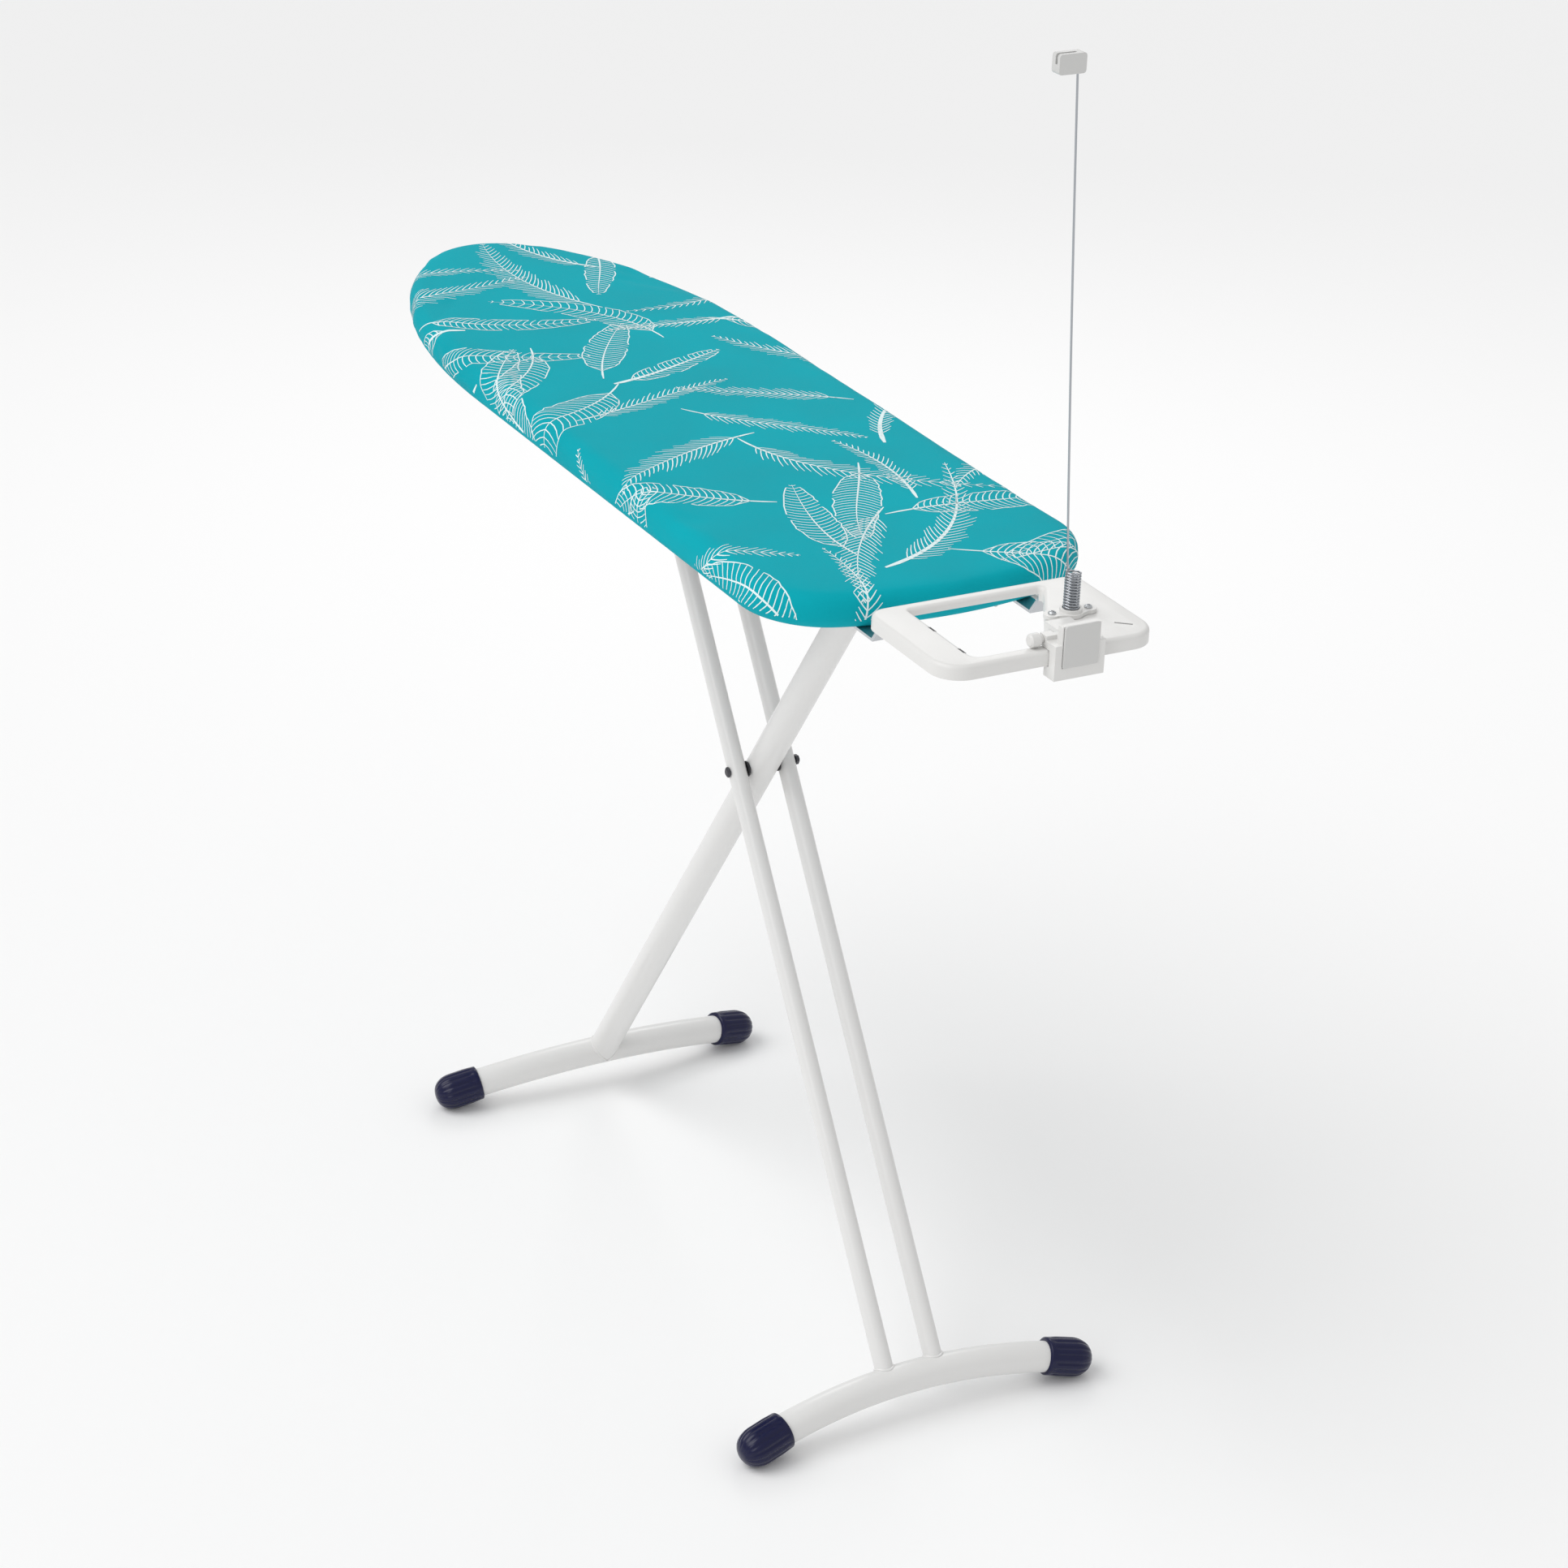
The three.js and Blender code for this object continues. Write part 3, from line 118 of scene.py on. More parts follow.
def math_node(tree, operation, a, b=0.0):
    node = tree.nodes.new("ShaderNodeMath")
    node.operation = operation
    for socket, value in zip(node.inputs, (a, b)):
        feed(tree, socket, value)
    return node.outputs[0]


def grain(material, shader, low, high, grain_scale, bump, depth=0.0002, stretch=(1, 1, 1)):
    """Uneven roughness between low and high, and a fine bump."""
    tree = material.node_tree
    place = object_place(tree, stretch)
    patches = add_node(tree, "ShaderNodeTexNoise", Vector=place, Scale=22.0, Detail=4.0)
    spread = add_node(tree, "ShaderNodeMapRange", Value=patches.outputs["Fac"], To_Min=low, To_Max=high)
    feed(tree, shader.inputs["Roughness"], spread.outputs["Result"])
    fine = add_node(tree, "ShaderNodeTexNoise", Vector=place, Scale=grain_scale, Detail=3.0)
    raised = add_node(tree, "ShaderNodeBump", Strength=bump, Distance=depth, Height=fine.outputs["Fac"])
    feed(tree, shader.inputs["Normal"], raised.outputs["Normal"])
    return material


# %% Paint, plastic and metal
finish = {}
finish["powder_coat"] = grain(
    *new_finish("powder_coat_finish", (0.77, 0.765, 0.755), 0.3, Coat_Weight=0.35, Coat_Roughness=0.12),
    0.26, 0.38, 700.0, 0.25,
)
finish["white_plastic"] = grain(
    *new_finish("white_plastic_finish", (0.76, 0.755, 0.74), 0.4),
    0.30, 0.42, 1500.0, 0.2,
)
finish["grey_plastic"] = grain(
    *new_finish("grey_plastic_finish", (0.62, 0.62, 0.61), 0.45), 0.38, 0.5, 1700.0, 0.25
)
finish["navy_cap"] = grain(
    *new_finish("navy_cap_finish", (0.004, 0.005, 0.040), 0.2, Specular_IOR_Level=0.35),
    0.16, 0.26, 900.0, 0.15,
)
finish["dark_plastic"] = grain(
    *new_finish("dark_plastic_finish", (0.02, 0.021, 0.025), 0.5), 0.42, 0.58, 1500.0, 0.3
)
finish["zinc"] = grain(
    *new_finish("zinc_finish", (0.60, 0.62, 0.64), 0.35, 1.0), 0.26, 0.45, 260.0, 0.25, stretch=(0.15, 1, 1)
)
finish["dark_steel"] = grain(
    *new_finish("dark_steel_finish", (0.09, 0.09, 0.10), 0.35, 1.0), 0.28, 0.45, 600.0, 0.25
)
finish["chrome"] = grain(
    *new_finish("chrome_finish", (0.40, 0.42, 0.45), 0.12, 1.0), 0.08, 0.18, 500.0, 0.05
)
print("plain finishes:", sorted(finish))

# %% [markdown]
# The cover is a plain-weave cotton. Two crossed wave textures make the threads, a soft noise shades the
# dye, and its shine is kept low, because cloth is dull. The feathers' pale ink uses the same weave.


# %% Woven cloth
def colour_ramp(tree, factor, *stops):
    ramp = add_node(tree, "ShaderNodeValToRGB", Fac=factor)
    for element, (position, colour) in zip(ramp.color_ramp.elements, stops):
        element.position = position
        element.color = (*colour, 1)
    return ramp.outputs["Color"]


def woven(name, colour, shade, thread=420.0):
    material, shader = new_finish(name, colour, 0.8, Specular_IOR_Level=0.1)
    tree = material.node_tree
    place = object_place(tree)
    dye = add_node(tree, "ShaderNodeTexNoise", Vector=place, Scale=9.0, Detail=5.0)
    tint = colour_ramp(tree, dye.outputs["Fac"], (0.3, shade), (0.72, colour))
    feed(tree, shader.inputs["Base Color"], tint)
    warp = add_node(tree, "ShaderNodeTexWave", Vector=place, Scale=thread, Distortion=0.6)
    weft = add_node(tree, "ShaderNodeTexWave", Vector=place, Scale=thread, Distortion=0.6)
    weft.bands_direction = "Y"
    threads = math_node(tree, "ADD", warp.outputs["Fac"], weft.outputs["Fac"])
    rough = add_node(tree, "ShaderNodeMapRange", Value=dye.outputs["Fac"], To_Min=0.66, To_Max=0.84)
    feed(tree, shader.inputs["Roughness"], rough.outputs["Result"])
    raised = add_node(tree, "ShaderNodeBump", Strength=0.22, Distance=0.0003, Height=threads)
    feed(tree, shader.inputs["Normal"], raised.outputs["Normal"])
    return material


finish["cover"] = woven("teal_cloth_finish", (0.0003, 0.400, 0.475), (0.0002, 0.360, 0.430))
finish["print"] = woven("feather_ink_finish", (0.80, 0.93, 0.93), (0.75, 0.90, 0.91))
finish["padding"] = grain(*new_finish("felt_finish", (0.66, 0.66, 0.63), 0.95), 0.88, 0.98, 350.0, 0.7)

# %% [markdown]
# The underside is an open steel mesh on the real board. Two crossed waves draw diamond holes and sink them
# with a bump, and the holes are painted dark as painted shade, the shade seen through the openings. This
# costs no geometry on a face that is rarely seen.


# %% Mesh steel for the underside
HOLE_WAVES = 560.0


def mesh_steel(name):
    material, shader = new_finish(name, (0.55, 0.56, 0.57), 0.45)
    tree = material.node_tree
    place = object_place(tree, turn=(0, 0, math.radians(45)))
    split = add_node(tree, "ShaderNodeSeparateXYZ", Vector=place)
    across = math_node(tree, "SINE", math_node(tree, "MULTIPLY", split.outputs["X"], HOLE_WAVES))
    along = math_node(tree, "SINE", math_node(tree, "MULTIPLY", split.outputs["Y"], HOLE_WAVES))
    hole_depth_and_shade = math_node(tree, "MULTIPLY", across, along)
    # Painted shade: the holes get a near-black colour for the shade seen through the open mesh.
    tint = colour_ramp(tree, hole_depth_and_shade, (0.22, (0.56, 0.57, 0.58)), (0.34, (0.05, 0.055, 0.06)))
    feed(tree, shader.inputs["Base Color"], tint)
    noise = add_node(tree, "ShaderNodeTexNoise", Vector=place, Scale=30.0)
    rough = add_node(tree, "ShaderNodeMapRange", Value=noise.outputs["Fac"], To_Min=0.38, To_Max=0.55)
    feed(tree, shader.inputs["Roughness"], rough.outputs["Result"])
    sunk = add_node(tree, "ShaderNodeBump", Strength=0.6, Distance=0.001, Height=hole_depth_and_shade)
    sunk.invert = True
    feed(tree, shader.inputs["Normal"], sunk.outputs["Normal"])
    return material


finish["core"] = mesh_steel("mesh_steel_finish")

# %% [markdown]
# ## Helpers for pieces
# A piece is a mesh in the frame's own coordinates. It rides on the body of the solids that it stands for.


# %% Make, ride and replace
def linked(name, data):
    made = bpy.data.objects.new(name, data)
    bpy.context.scene.collection.objects.link(made)
    return made


def mesh_piece(name, vertices, faces, look, sharp=40):
    mesh = bpy.data.meshes.new(name)
    mesh.from_pydata([tuple(v) for v in vertices], [], faces)
    tidy_mesh(mesh)
    piece = linked(name, mesh)
    mesh.materials.append(finish[look])
    shade(mesh, sharp)
    return piece


def tidy_mesh(mesh):
    work = bmesh.new()
    work.from_mesh(mesh)
    bmesh.ops.remove_doubles(work, verts=work.verts, dist=1e-6)
    bmesh.ops.dissolve_degenerate(work, edges=work.edges, dist=1e-7)
    bmesh.ops.recalc_face_normals(work, faces=work.faces)
    work.to_mesh(mesh)
    work.free()


def shade(mesh, degrees):
    mesh.polygons.foreach_set("use_smooth", [True] * len(mesh.polygons))
    mesh.set_sharp_from_angle(angle=math.radians(degrees))


def stand_for(piece, body, slot, *nodes):
    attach(piece, body)
    if nodes:
        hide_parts(*nodes)


def baked(piece, name, look):
    """The evaluated shape of a piece, modifiers and nodes included, as a plain mesh object."""
    bpy.context.view_layer.update()
    graph = bpy.context.evaluated_depsgraph_get()
    mesh = bpy.data.meshes.new_from_object(piece.evaluated_get(graph), depsgraph=graph)
    mesh.transform(piece.matrix_world)
    mesh.name = name
    bpy.data.objects.remove(piece)
    made = linked(name, mesh)
    mesh.materials.clear()
    mesh.materials.append(finish[look])
    for face in mesh.polygons:
        face.material_index = 0
    return made


# %% [markdown]
# ## Swept tubes
# Legs, foot bars, caps, wires and weld beads are all a round section carried along a path. One helper
# does it: a ring of points at each step of the path, whose radius can change to round off an end.


# %% The sweep
def sweep(path, radii, sides=32, closed=False, ribs=0, rib_depth=0.0, rib_fade=None):
    path = [Vector(p) for p in path]
    count = len(path)
    vertices, faces = [], []
    normal = None
    for i, point in enumerate(path):
        before = path[i - 1] if closed or i > 0 else point
        after = path[(i + 1) % count] if closed or i < count - 1 else point
        along = (after - before).normalized()
        if normal is None:
            normal = along.orthogonal().normalized()
        normal = (normal - along * normal.dot(along)).normalized()
        side = along.cross(normal)
        radius = radii[i] if isinstance(radii, (list, tuple)) else radii
        for k in range(sides):
            angle = 2 * math.pi * k / sides
            depth = rib_depth * (rib_fade[i] if rib_fade else 1)
            here = radius - depth * (0.5 + 0.5 * math.cos(ribs * angle)) ** 3 if ribs else radius
            vertices.append(point + normal * here * math.cos(angle) + side * here * math.sin(angle))
    for i in range(count if closed else count - 1):
        j = (i + 1) % count
        for k in range(sides):
            m = (k + 1) % sides
            faces.append((i * sides + k, i * sides + m, j * sides + m, j * sides + k))
    if not closed:
        faces.append(tuple(reversed(range(sides))))
        faces.append(tuple(range((count - 1) * sides, count * sides)))
    return vertices, faces


def rounded_rod(a, b, radius, edge=0.0015, steps=4):
    """Path and radii of a straight rod with softly rounded ends."""
    a, b = Vector(a), Vector(b)
    along = (b - a).normalized()
    turns = [math.pi / 2 * i / steps for i in range(steps + 1)]
    path = [a + along * edge * (1 - math.sin(t)) for t in turns]
    radii = [radius - edge * (1 - math.cos(math.pi / 2 - t)) for t in turns]
    path += [b - along * edge * (1 - math.sin(t)) for t in reversed(turns)]
    radii += list(reversed(radii))
    return path, radii


# %% [markdown]
# ## The two leg frames
# The thick leg and the pair of thin legs cross at a bolt, and each is welded to an arched foot bar. The
# directions come from the joints: fold pivot, crossing pivot and slide pivot all lie on the legs.

# %% Directions and foot arches
MAIN_TUBE = 0.0175
TWIN_TUBE = 0.0104
FOOT_TUBE = 0.0175
FOOT_HALF_SPAN = 0.196
FOOT_ARCH = 0.027
TUBE_ABOVE_PIVOT = 0.010
TWIN_OFFSET = 0.0305
BEAD_RADIUS = 0.0016
TUBE_SIDES = 48
BAR_SIDES = 40
PATH_STEPS = 48
fold = pivot_of["main_leg_fold"]
crossing = pivot_of["cross_pivot"]
slide = pivot_of["slider_pivot"]
main_down = (crossing - fold).normalized()
twin_down = (crossing - slide).normalized()
arch_radius = (FOOT_HALF_SPAN**2 + FOOT_ARCH**2) / (2 * FOOT_ARCH)


def foot_centre(pivot, down, node):
    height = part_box(node)[1].z - FOOT_TUBE
    return pivot + down * ((height - pivot.z) / down.z)


def arch_point(centre, down, y):
    return centre + Vector((0, y, 0)) + down * (arch_radius - math.sqrt(arch_radius**2 - y * y))


def weld_bead(centre, down, y, tube):
    """A bead along the curve where a leg tube meets its foot bar."""
    across = down.cross(Vector((0, 1, 0))).normalized()
    middle = arch_point(centre, down, y)
    path = []
    for i in range(PATH_STEPS):
        angle = 2 * math.pi * i / PATH_STEPS
        aside = tube * math.sin(angle)
        up = math.sqrt(max(FOOT_TUBE**2 - aside**2, 0))
        path.append(middle + Vector((0, tube * math.cos(angle), 0)) + across * aside - down * up)
    return sweep(path, BEAD_RADIUS, 8, closed=True)


# %% Leg tubes, foot bars and beads
def leg_tube(name, pivot, down, y, tube, node):
    centre = foot_centre(pivot, down, node)
    offset = Vector((0, y, 0))
    path, radii = rounded_rod(pivot + offset - down * TUBE_ABOVE_PIVOT, arch_point(centre, down, y), tube)
    leg = mesh_piece(f"{name}_tube", *sweep(path, radii, TUBE_SIDES), "powder_coat")
    bead = mesh_piece(f"{name}_weld", *weld_bead(centre, down, y, tube), "powder_coat")
    return leg, bead


def foot_bar(name, pivot, down, node, body):
    centre = foot_centre(pivot, down, node)
    steps = range(PATH_STEPS + 1)
    path = [arch_point(centre, down, FOOT_HALF_SPAN * (2 * i / PATH_STEPS - 1)) for i in steps]
    bar = mesh_piece(name, *sweep(path, FOOT_TUBE, BAR_SIDES), "powder_coat")
    stand_for(bar, body, "powder_coat", node)


for name, pivot, down, y, tube, bar, body in (
    ("main_leg", fold, main_down, 0, MAIN_TUBE, "main_foot_bar", "main_leg_frame"),
    ("twin_leg_left", slide, twin_down, -TWIN_OFFSET, TWIN_TUBE, "twin_foot_bar", "twin_leg_frame"),
    ("twin_leg_right", slide, twin_down, TWIN_OFFSET, TWIN_TUBE, "twin_foot_bar", "twin_leg_frame"),
):
    leg, bead = leg_tube(name, pivot, down, y, tube, bar)
    stand_for(leg, body, "powder_coat", name)
    stand_for(bead, body, "powder_coat")
foot_bar("main_foot_arch", fold, main_down, "main_foot_bar", "main_leg_frame")
foot_bar("twin_foot_arch", slide, twin_down, "twin_foot_bar", "twin_leg_frame")
print("legs from", [round(v, 3) for v in fold], "and", [round(v, 3) for v in slide])

# %% [markdown]
# ## Foot caps
# Each cap is a glossy sleeve with a rounded nose and lengthwise grooves. The same sweep makes it: the
# radius falls along the nose, and the ring is notched between the ribs, which fade out on the nose.

# %% Ribbed caps
CAP_RADIUS = 0.0219
CAP_OVERLAP = 0.034
CAP_NOSE = 0.0238
CAP_SEAT = 0.0004
LIP_START, LIP_LENGTH = 0.0001, 0.0018
LIP_DROP, LIP_RISE = 0.0034, 0.0026
SLEEVE_START, SLEEVE_SWELL = 0.0022, 0.0008
NOSE_POWER, NOSE_FADE = 0.82, 0.18
RIBS, RIB_DEPTH = 15, 0.0013


def foot_cap(name, pivot, down, node, side, body):
    bar = "main_foot_bar" if body == "main_leg_frame" else "twin_foot_bar"
    centre = foot_centre(pivot, down, bar)
    end = arch_point(centre, down, side * FOOT_HALF_SPAN)
    inner = arch_point(centre, down, side * (FOOT_HALF_SPAN - 0.004))
    out = (end - inner).normalized()
    path, radii, fade = [], [], []
    path.append(end - out * (CAP_OVERLAP - CAP_SEAT))
    radii.append(FOOT_TUBE + CAP_SEAT)
    fade.append(0)
    for t in (0, 0.25, 0.5, 0.75, 1):
        path.append(end - out * (CAP_OVERLAP - LIP_START - LIP_LENGTH * t))
        radii.append(CAP_RADIUS - LIP_DROP + LIP_RISE * math.sin(t * math.pi / 2))
        fade.append(0)
    for i in range(1, 13):
        path.append(end - out * (CAP_OVERLAP - SLEEVE_START) * (1 - i / 12))
        radii.append(CAP_RADIUS - SLEEVE_SWELL + SLEEVE_SWELL * min(1, i / 5))
        fade.append(min(1, max(0, (i - 1) / 2)))
    for i in range(1, 15):
        angle = math.pi / 2 * i / 14
        path.append(end + out * CAP_NOSE * math.sin(angle))
        radii.append(max(CAP_RADIUS * math.cos(angle) ** NOSE_POWER, 0.00005))
        fade.append(max(0, math.cos(angle) - NOSE_FADE))
    shape = sweep(path, radii, 8 * RIBS, ribs=RIBS, rib_depth=RIB_DEPTH, rib_fade=fade)
    stand_for(mesh_piece(name, *shape, "navy_cap", sharp=60), body, "navy_cap", node)


for kind, pivot, down in (("main", fold, main_down), ("twin", slide, twin_down)):
    for word, side in (("left", -1), ("right", 1)):
        node = f"{kind}_foot_cap_{word}"
        foot_cap(f"{kind}_ribbed_cap_{word}", pivot, down, node, side, f"{kind}_leg_frame")
print("caps done")

# %% [markdown]
# ## Pressed, moulded and turned pieces
# Brackets, rails, arms, the lever and the cable holder keep the exact solids. A copy of each solid is
# merged, its flat faces joined, and its edges rounded with a live bevel, as a press or a mould leaves them.


# %% Round the edges of a solid
def round_edges(node, width, segments):
    mesh = frame["nodes"][node].data.copy()
    mesh.name = f"{node}_rounded"
    work = bmesh.new()
    work.from_mesh(mesh)
    bmesh.ops.remove_doubles(work, verts=work.verts, dist=2e-6)
    bmesh.ops.dissolve_limit(
        work, angle_limit=math.radians(0.6), verts=work.verts, edges=work.edges, delimit=set()
    )
    work.to_mesh(mesh)
    work.free()
    for name in [a.name for a in mesh.attributes if a.name in ("custom_normal", "sharp_edge")]:
        mesh.attributes.remove(mesh.attributes[name])
    piece = linked(mesh.name, mesh)
    mesh.materials.clear()
    mesh.materials.append(finish[slot_of[node]])
    mesh.polygons.foreach_set("use_smooth", [True] * len(mesh.polygons))
    bevel = piece.modifiers.new("edges", "BEVEL")
    bevel.width = width
    bevel.segments = segments
    bevel.limit_method = "ANGLE"
    bevel.angle_limit = math.radians(32)
    bevel.harden_normals = True
    stand_for(piece, body_of[node], slot_of[node], node)


SHEET_EDGE = 0.0003
BOLT_EDGE = 0.0004
SMALL_MOULDED_EDGE = 0.0007
MOULDED_EDGE = 0.0012
sheet_nodes = (
    "slide_rail_left", "slide_rail_right", "leg_bracket", "rest_arm_left", "rest_arm_right",
    "bar_guide_front", "bar_guide_rear", "lever_bracket", "height_bar", "slide_axle", "axle_cap",
    "slide_shoe_left", "slide_shoe_right", "lever_pin",
)
bolt_nodes = (
    "cross_spacer_left", "cross_spacer_right", "leg_pivot_bolt", "leg_pivot_nut", "cross_bolt", "cross_nut",
)
for nodes, width, segments in (
    (sheet_nodes, SHEET_EDGE, 2),
    (bolt_nodes, BOLT_EDGE, 2),
    (("cable_holder_body", "cable_clip", "release_lever"), MOULDED_EDGE, 3),
    (("cable_holder_plate", "clamp_knob", "spring_socket"), SMALL_MOULDED_EDGE, 3),
):
    for node in nodes:
        round_edges(node, width, segments)
print("rounded solids done")

# %% [markdown]
# ## The iron rest
# The rest is one moulding: a frame round an open middle, wider on one side, with soft rounded edges. A
# flat curve with a hole, extruded and bevelled, makes such edges all round both the rim and the opening.

# %% Outline helpers
REST_HEIGHT = 0.015
REST_ROUND = 0.0046
rest_low, rest_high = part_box("iron_rest")


def rounded_corners(corners, steps=12):
    points = []
    for i, (x, y, radius) in enumerate(corners):
        here = Vector((x, y))
        before = (Vector(corners[i - 1][:2]) - here).normalized()
        after = (Vector(corners[(i + 1) % len(corners)][:2]) - here).normalized()
        half = math.acos(max(-1, min(1, before.dot(after)))) / 2
        centre = here + (before + after).normalized() * radius / math.sin(half)
        start = here + before * radius / math.tan(half) - centre
        end = here + after * radius / math.tan(half) - centre
        sweep_angle = math.atan2(start.x * end.y - start.y * end.x, start.dot(end))
        for k in range(steps + 1):
            turn = Matrix.Rotation(sweep_angle * k / steps, 2)
            points.append(centre + turn @ start)
    return points


def flat_moulding(name, outlines, z0, z1, rounding, look):
    curve = bpy.data.curves.new(name, "CURVE")
    curve.dimensions = "2D"
    curve.fill_mode = "BOTH"
    curve.extrude = (z1 - z0) / 2 - rounding
    curve.bevel_depth = rounding
    curve.bevel_resolution = 4
    curve.offset = -rounding
    for points in outlines:
        spline = curve.splines.new("POLY")
        spline.points.add(len(points) - 1)
        for place, point in zip(spline.points, points):
            place.co = (point.x, point.y, 0, 1)
        spline.use_cyclic_u = True
    made = linked(name, curve)
    made.location.z = (z0 + z1) / 2
    piece = baked(made, name, look)
    tidy_mesh(piece.data)
    return piece


def cut_away(piece, cutter):
    boolean = piece.modifiers.new("cut", "BOOLEAN")
    boolean.operation = "DIFFERENCE"
    boolean.object = cutter
    boolean.solver = "EXACT"


def box_piece(x0, x1, y0, y1, z0, z1, turn=0.0):
    work = bmesh.new()
    bmesh.ops.create_cube(work, size=1)
    mesh = bpy.data.meshes.new("cutter")
    size = Matrix.Diagonal((x1 - x0, y1 - y0, z1 - z0, 1))
    place = Matrix.Translation(((x0 + x1) / 2, (y0 + y1) / 2, (z0 + z1) / 2))
    bmesh.ops.transform(work, matrix=place @ Matrix.Rotation(turn, 4, "Z") @ size, verts=work.verts)
    work.to_mesh(mesh)
    work.free()
    return linked("cutter", mesh)


# %% The outlines of the rest
REAR_CORNER, FRONT_CORNER = 0.020, 0.030
REAR_RAIL, FRONT_RAIL, SIDE_RAIL = 0.015, 0.017, 0.0405
PANEL_FRONT, PANEL_REAR, PANEL_STEP = 0.096, 0.046, 0.044


def rest_outline(inset=0.0):
    x0, x1, half = rest_low.x + inset, rest_high.x - inset, rest_high.y - inset
    rear, front = REAR_CORNER - inset, FRONT_CORNER - inset
    return rounded_corners([(x0, -half, rear), (x1, -half, front), (x1, half, front), (x0, half, rear)])


def rest_opening(grow=0.0):
    rear, front = rest_low.x + REAR_RAIL - grow, rest_high.x - FRONT_RAIL + grow
    left, half = rest_low.y + SIDE_RAIL - grow, rest_high.y
    panel = half - PANEL_FRONT + grow
    return rounded_corners(
        [
            (rear, left, 0.004), (front, left, 0.009), (front, panel, 0.006),
            (front - PANEL_STEP, panel + 0.002, 0.012), (rear, half - PANEL_REAR + grow, 0.005),
        ]
    )


print("rest outline points:", len(rest_outline()), "opening points:", len(rest_opening()))

# %% The moulding and its cuts
UNDER_WALL = 0.003
ARM_RECESS = (-0.0795, 0.074)
CATCHES = ((0.0595, 0.0715), (0.1155, 0.1275))
CATCH_LEFT, CATCH_RIGHT = -0.084, -0.079
SLOT = (rest_high.x - 0.038, rest_high.x - 0.020, 0.0937, 0.0963)
SLOT_TURN = 0.9
top = rest_high.z
bottom = top - REST_HEIGHT
outlines = [rest_outline(), rest_opening()]
rest = flat_moulding("iron_rest_moulding", outlines, bottom - REST_ROUND, top, REST_ROUND, "white_plastic")
outlines = [rest_outline(UNDER_WALL), rest_opening(UNDER_WALL)]
pocket = flat_moulding("pocket", outlines, bottom - 0.02, top - UNDER_WALL, 0.0005, "white_plastic")
cutters = [
    box_piece(rest_low.x - 0.01, rest_high.x + 0.01, -0.2, 0.2, bottom - 0.03, bottom),
    box_piece(rest_low.x - 0.01, rest_low.x + 0.016, *ARM_RECESS, bottom - 0.01, top - 0.008),
]
for x0, x1 in CATCHES:
    span = (rest_low.x + x0, rest_low.x + x1, CATCH_LEFT, CATCH_RIGHT)
    cutters.append(box_piece(*span, bottom - 0.01, top + 0.01))
cutters.append(box_piece(*SLOT, bottom - 0.01, top + 0.01, SLOT_TURN))
shelf = box_piece(rest_low.x - 0.02, rest_low.x + 0.078, -0.2, 0.2, bottom - 0.04, top + 0.01)
cut_away(pocket, shelf)
pocket = baked(pocket, "pocket", "white_plastic")
for cutter in [*cutters, pocket]:
    cut_away(rest, cutter)
rest = baked(rest, "iron_rest_moulding", "white_plastic")
for cutter in [*cutters, pocket, shelf]:
    bpy.data.objects.remove(cutter)
shade(rest.data, 35)
stand_for(rest, "board", "white_plastic", "iron_rest")
print("iron rest faces:", len(rest.data.polygons))

# %% [markdown]
# Small dark plates sit in the two catches of the side rail, and a dark strip lies in the slot of the wide
# panel: painted shade for the shade inside these openings. They are plain boxes, a little smaller than the
# cuts they fill, so each keeps a thin shadow line.


# %% Painted shade in the openings of the rest
SHADE_PLATE_GAP = 0.0003
SHADE_PLATE_SUNK = 0.0007
SHADE_PLATE_DEPTH = 0.0030
SHADE_PLATE_RIGHT = -0.0805


def rest_shade_plate(name, x0, x1, y0, y1, turn=0.0):
    # Painted shade: a dark plate just under the top of each cut stands for the shade inside the opening.
    cut = (x0 + SHADE_PLATE_GAP, x1 - SHADE_PLATE_GAP, y0 + SHADE_PLATE_GAP, y1 - SHADE_PLATE_GAP)
    shade_plate = box_piece(*cut, top - SHADE_PLATE_DEPTH, top - SHADE_PLATE_SUNK, turn)
    shade_plate.name = shade_plate.data.name = name
    shade_plate.data.materials.append(finish["dark_plastic"])
    stand_for(shade_plate, "board", "dark_plastic")


for name, (x0, x1) in zip(("rest_stop_rear", "rest_stop_front"), CATCHES):
    rest_shade_plate(name, rest_low.x + x0, rest_low.x + x1, CATCH_LEFT, SHADE_PLATE_RIGHT)
rest_shade_plate("rest_slot_strip", *SLOT, SLOT_TURN)
print("stops done")

# %% [markdown]
# ## The cloth cover
# The cover is one piece of cotton, cut larger than the board, pulled over the edge and gathered under it.
# Rings of points follow the outline inwards from the hem, round the edge and over the top, and then close
# on a line along the middle. A short cloth simulation of a slightly too large cloth lets it ripple.

# %% The outline of the board
BOARD_LENGTH = 1.200
HALF_WIDTH = 0.190
NOSE_LENGTH = 0.446
NOSE_POWERS = (2.12, 1.91)
END_RADIUS = 0.442
CORNER_RADIUS = 0.096
RING_HALF = 120
SPINE_ENDS = (0.215, 1.03)
HEM_RIPPLES = 75
cover_low, cover_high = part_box("board_cover")


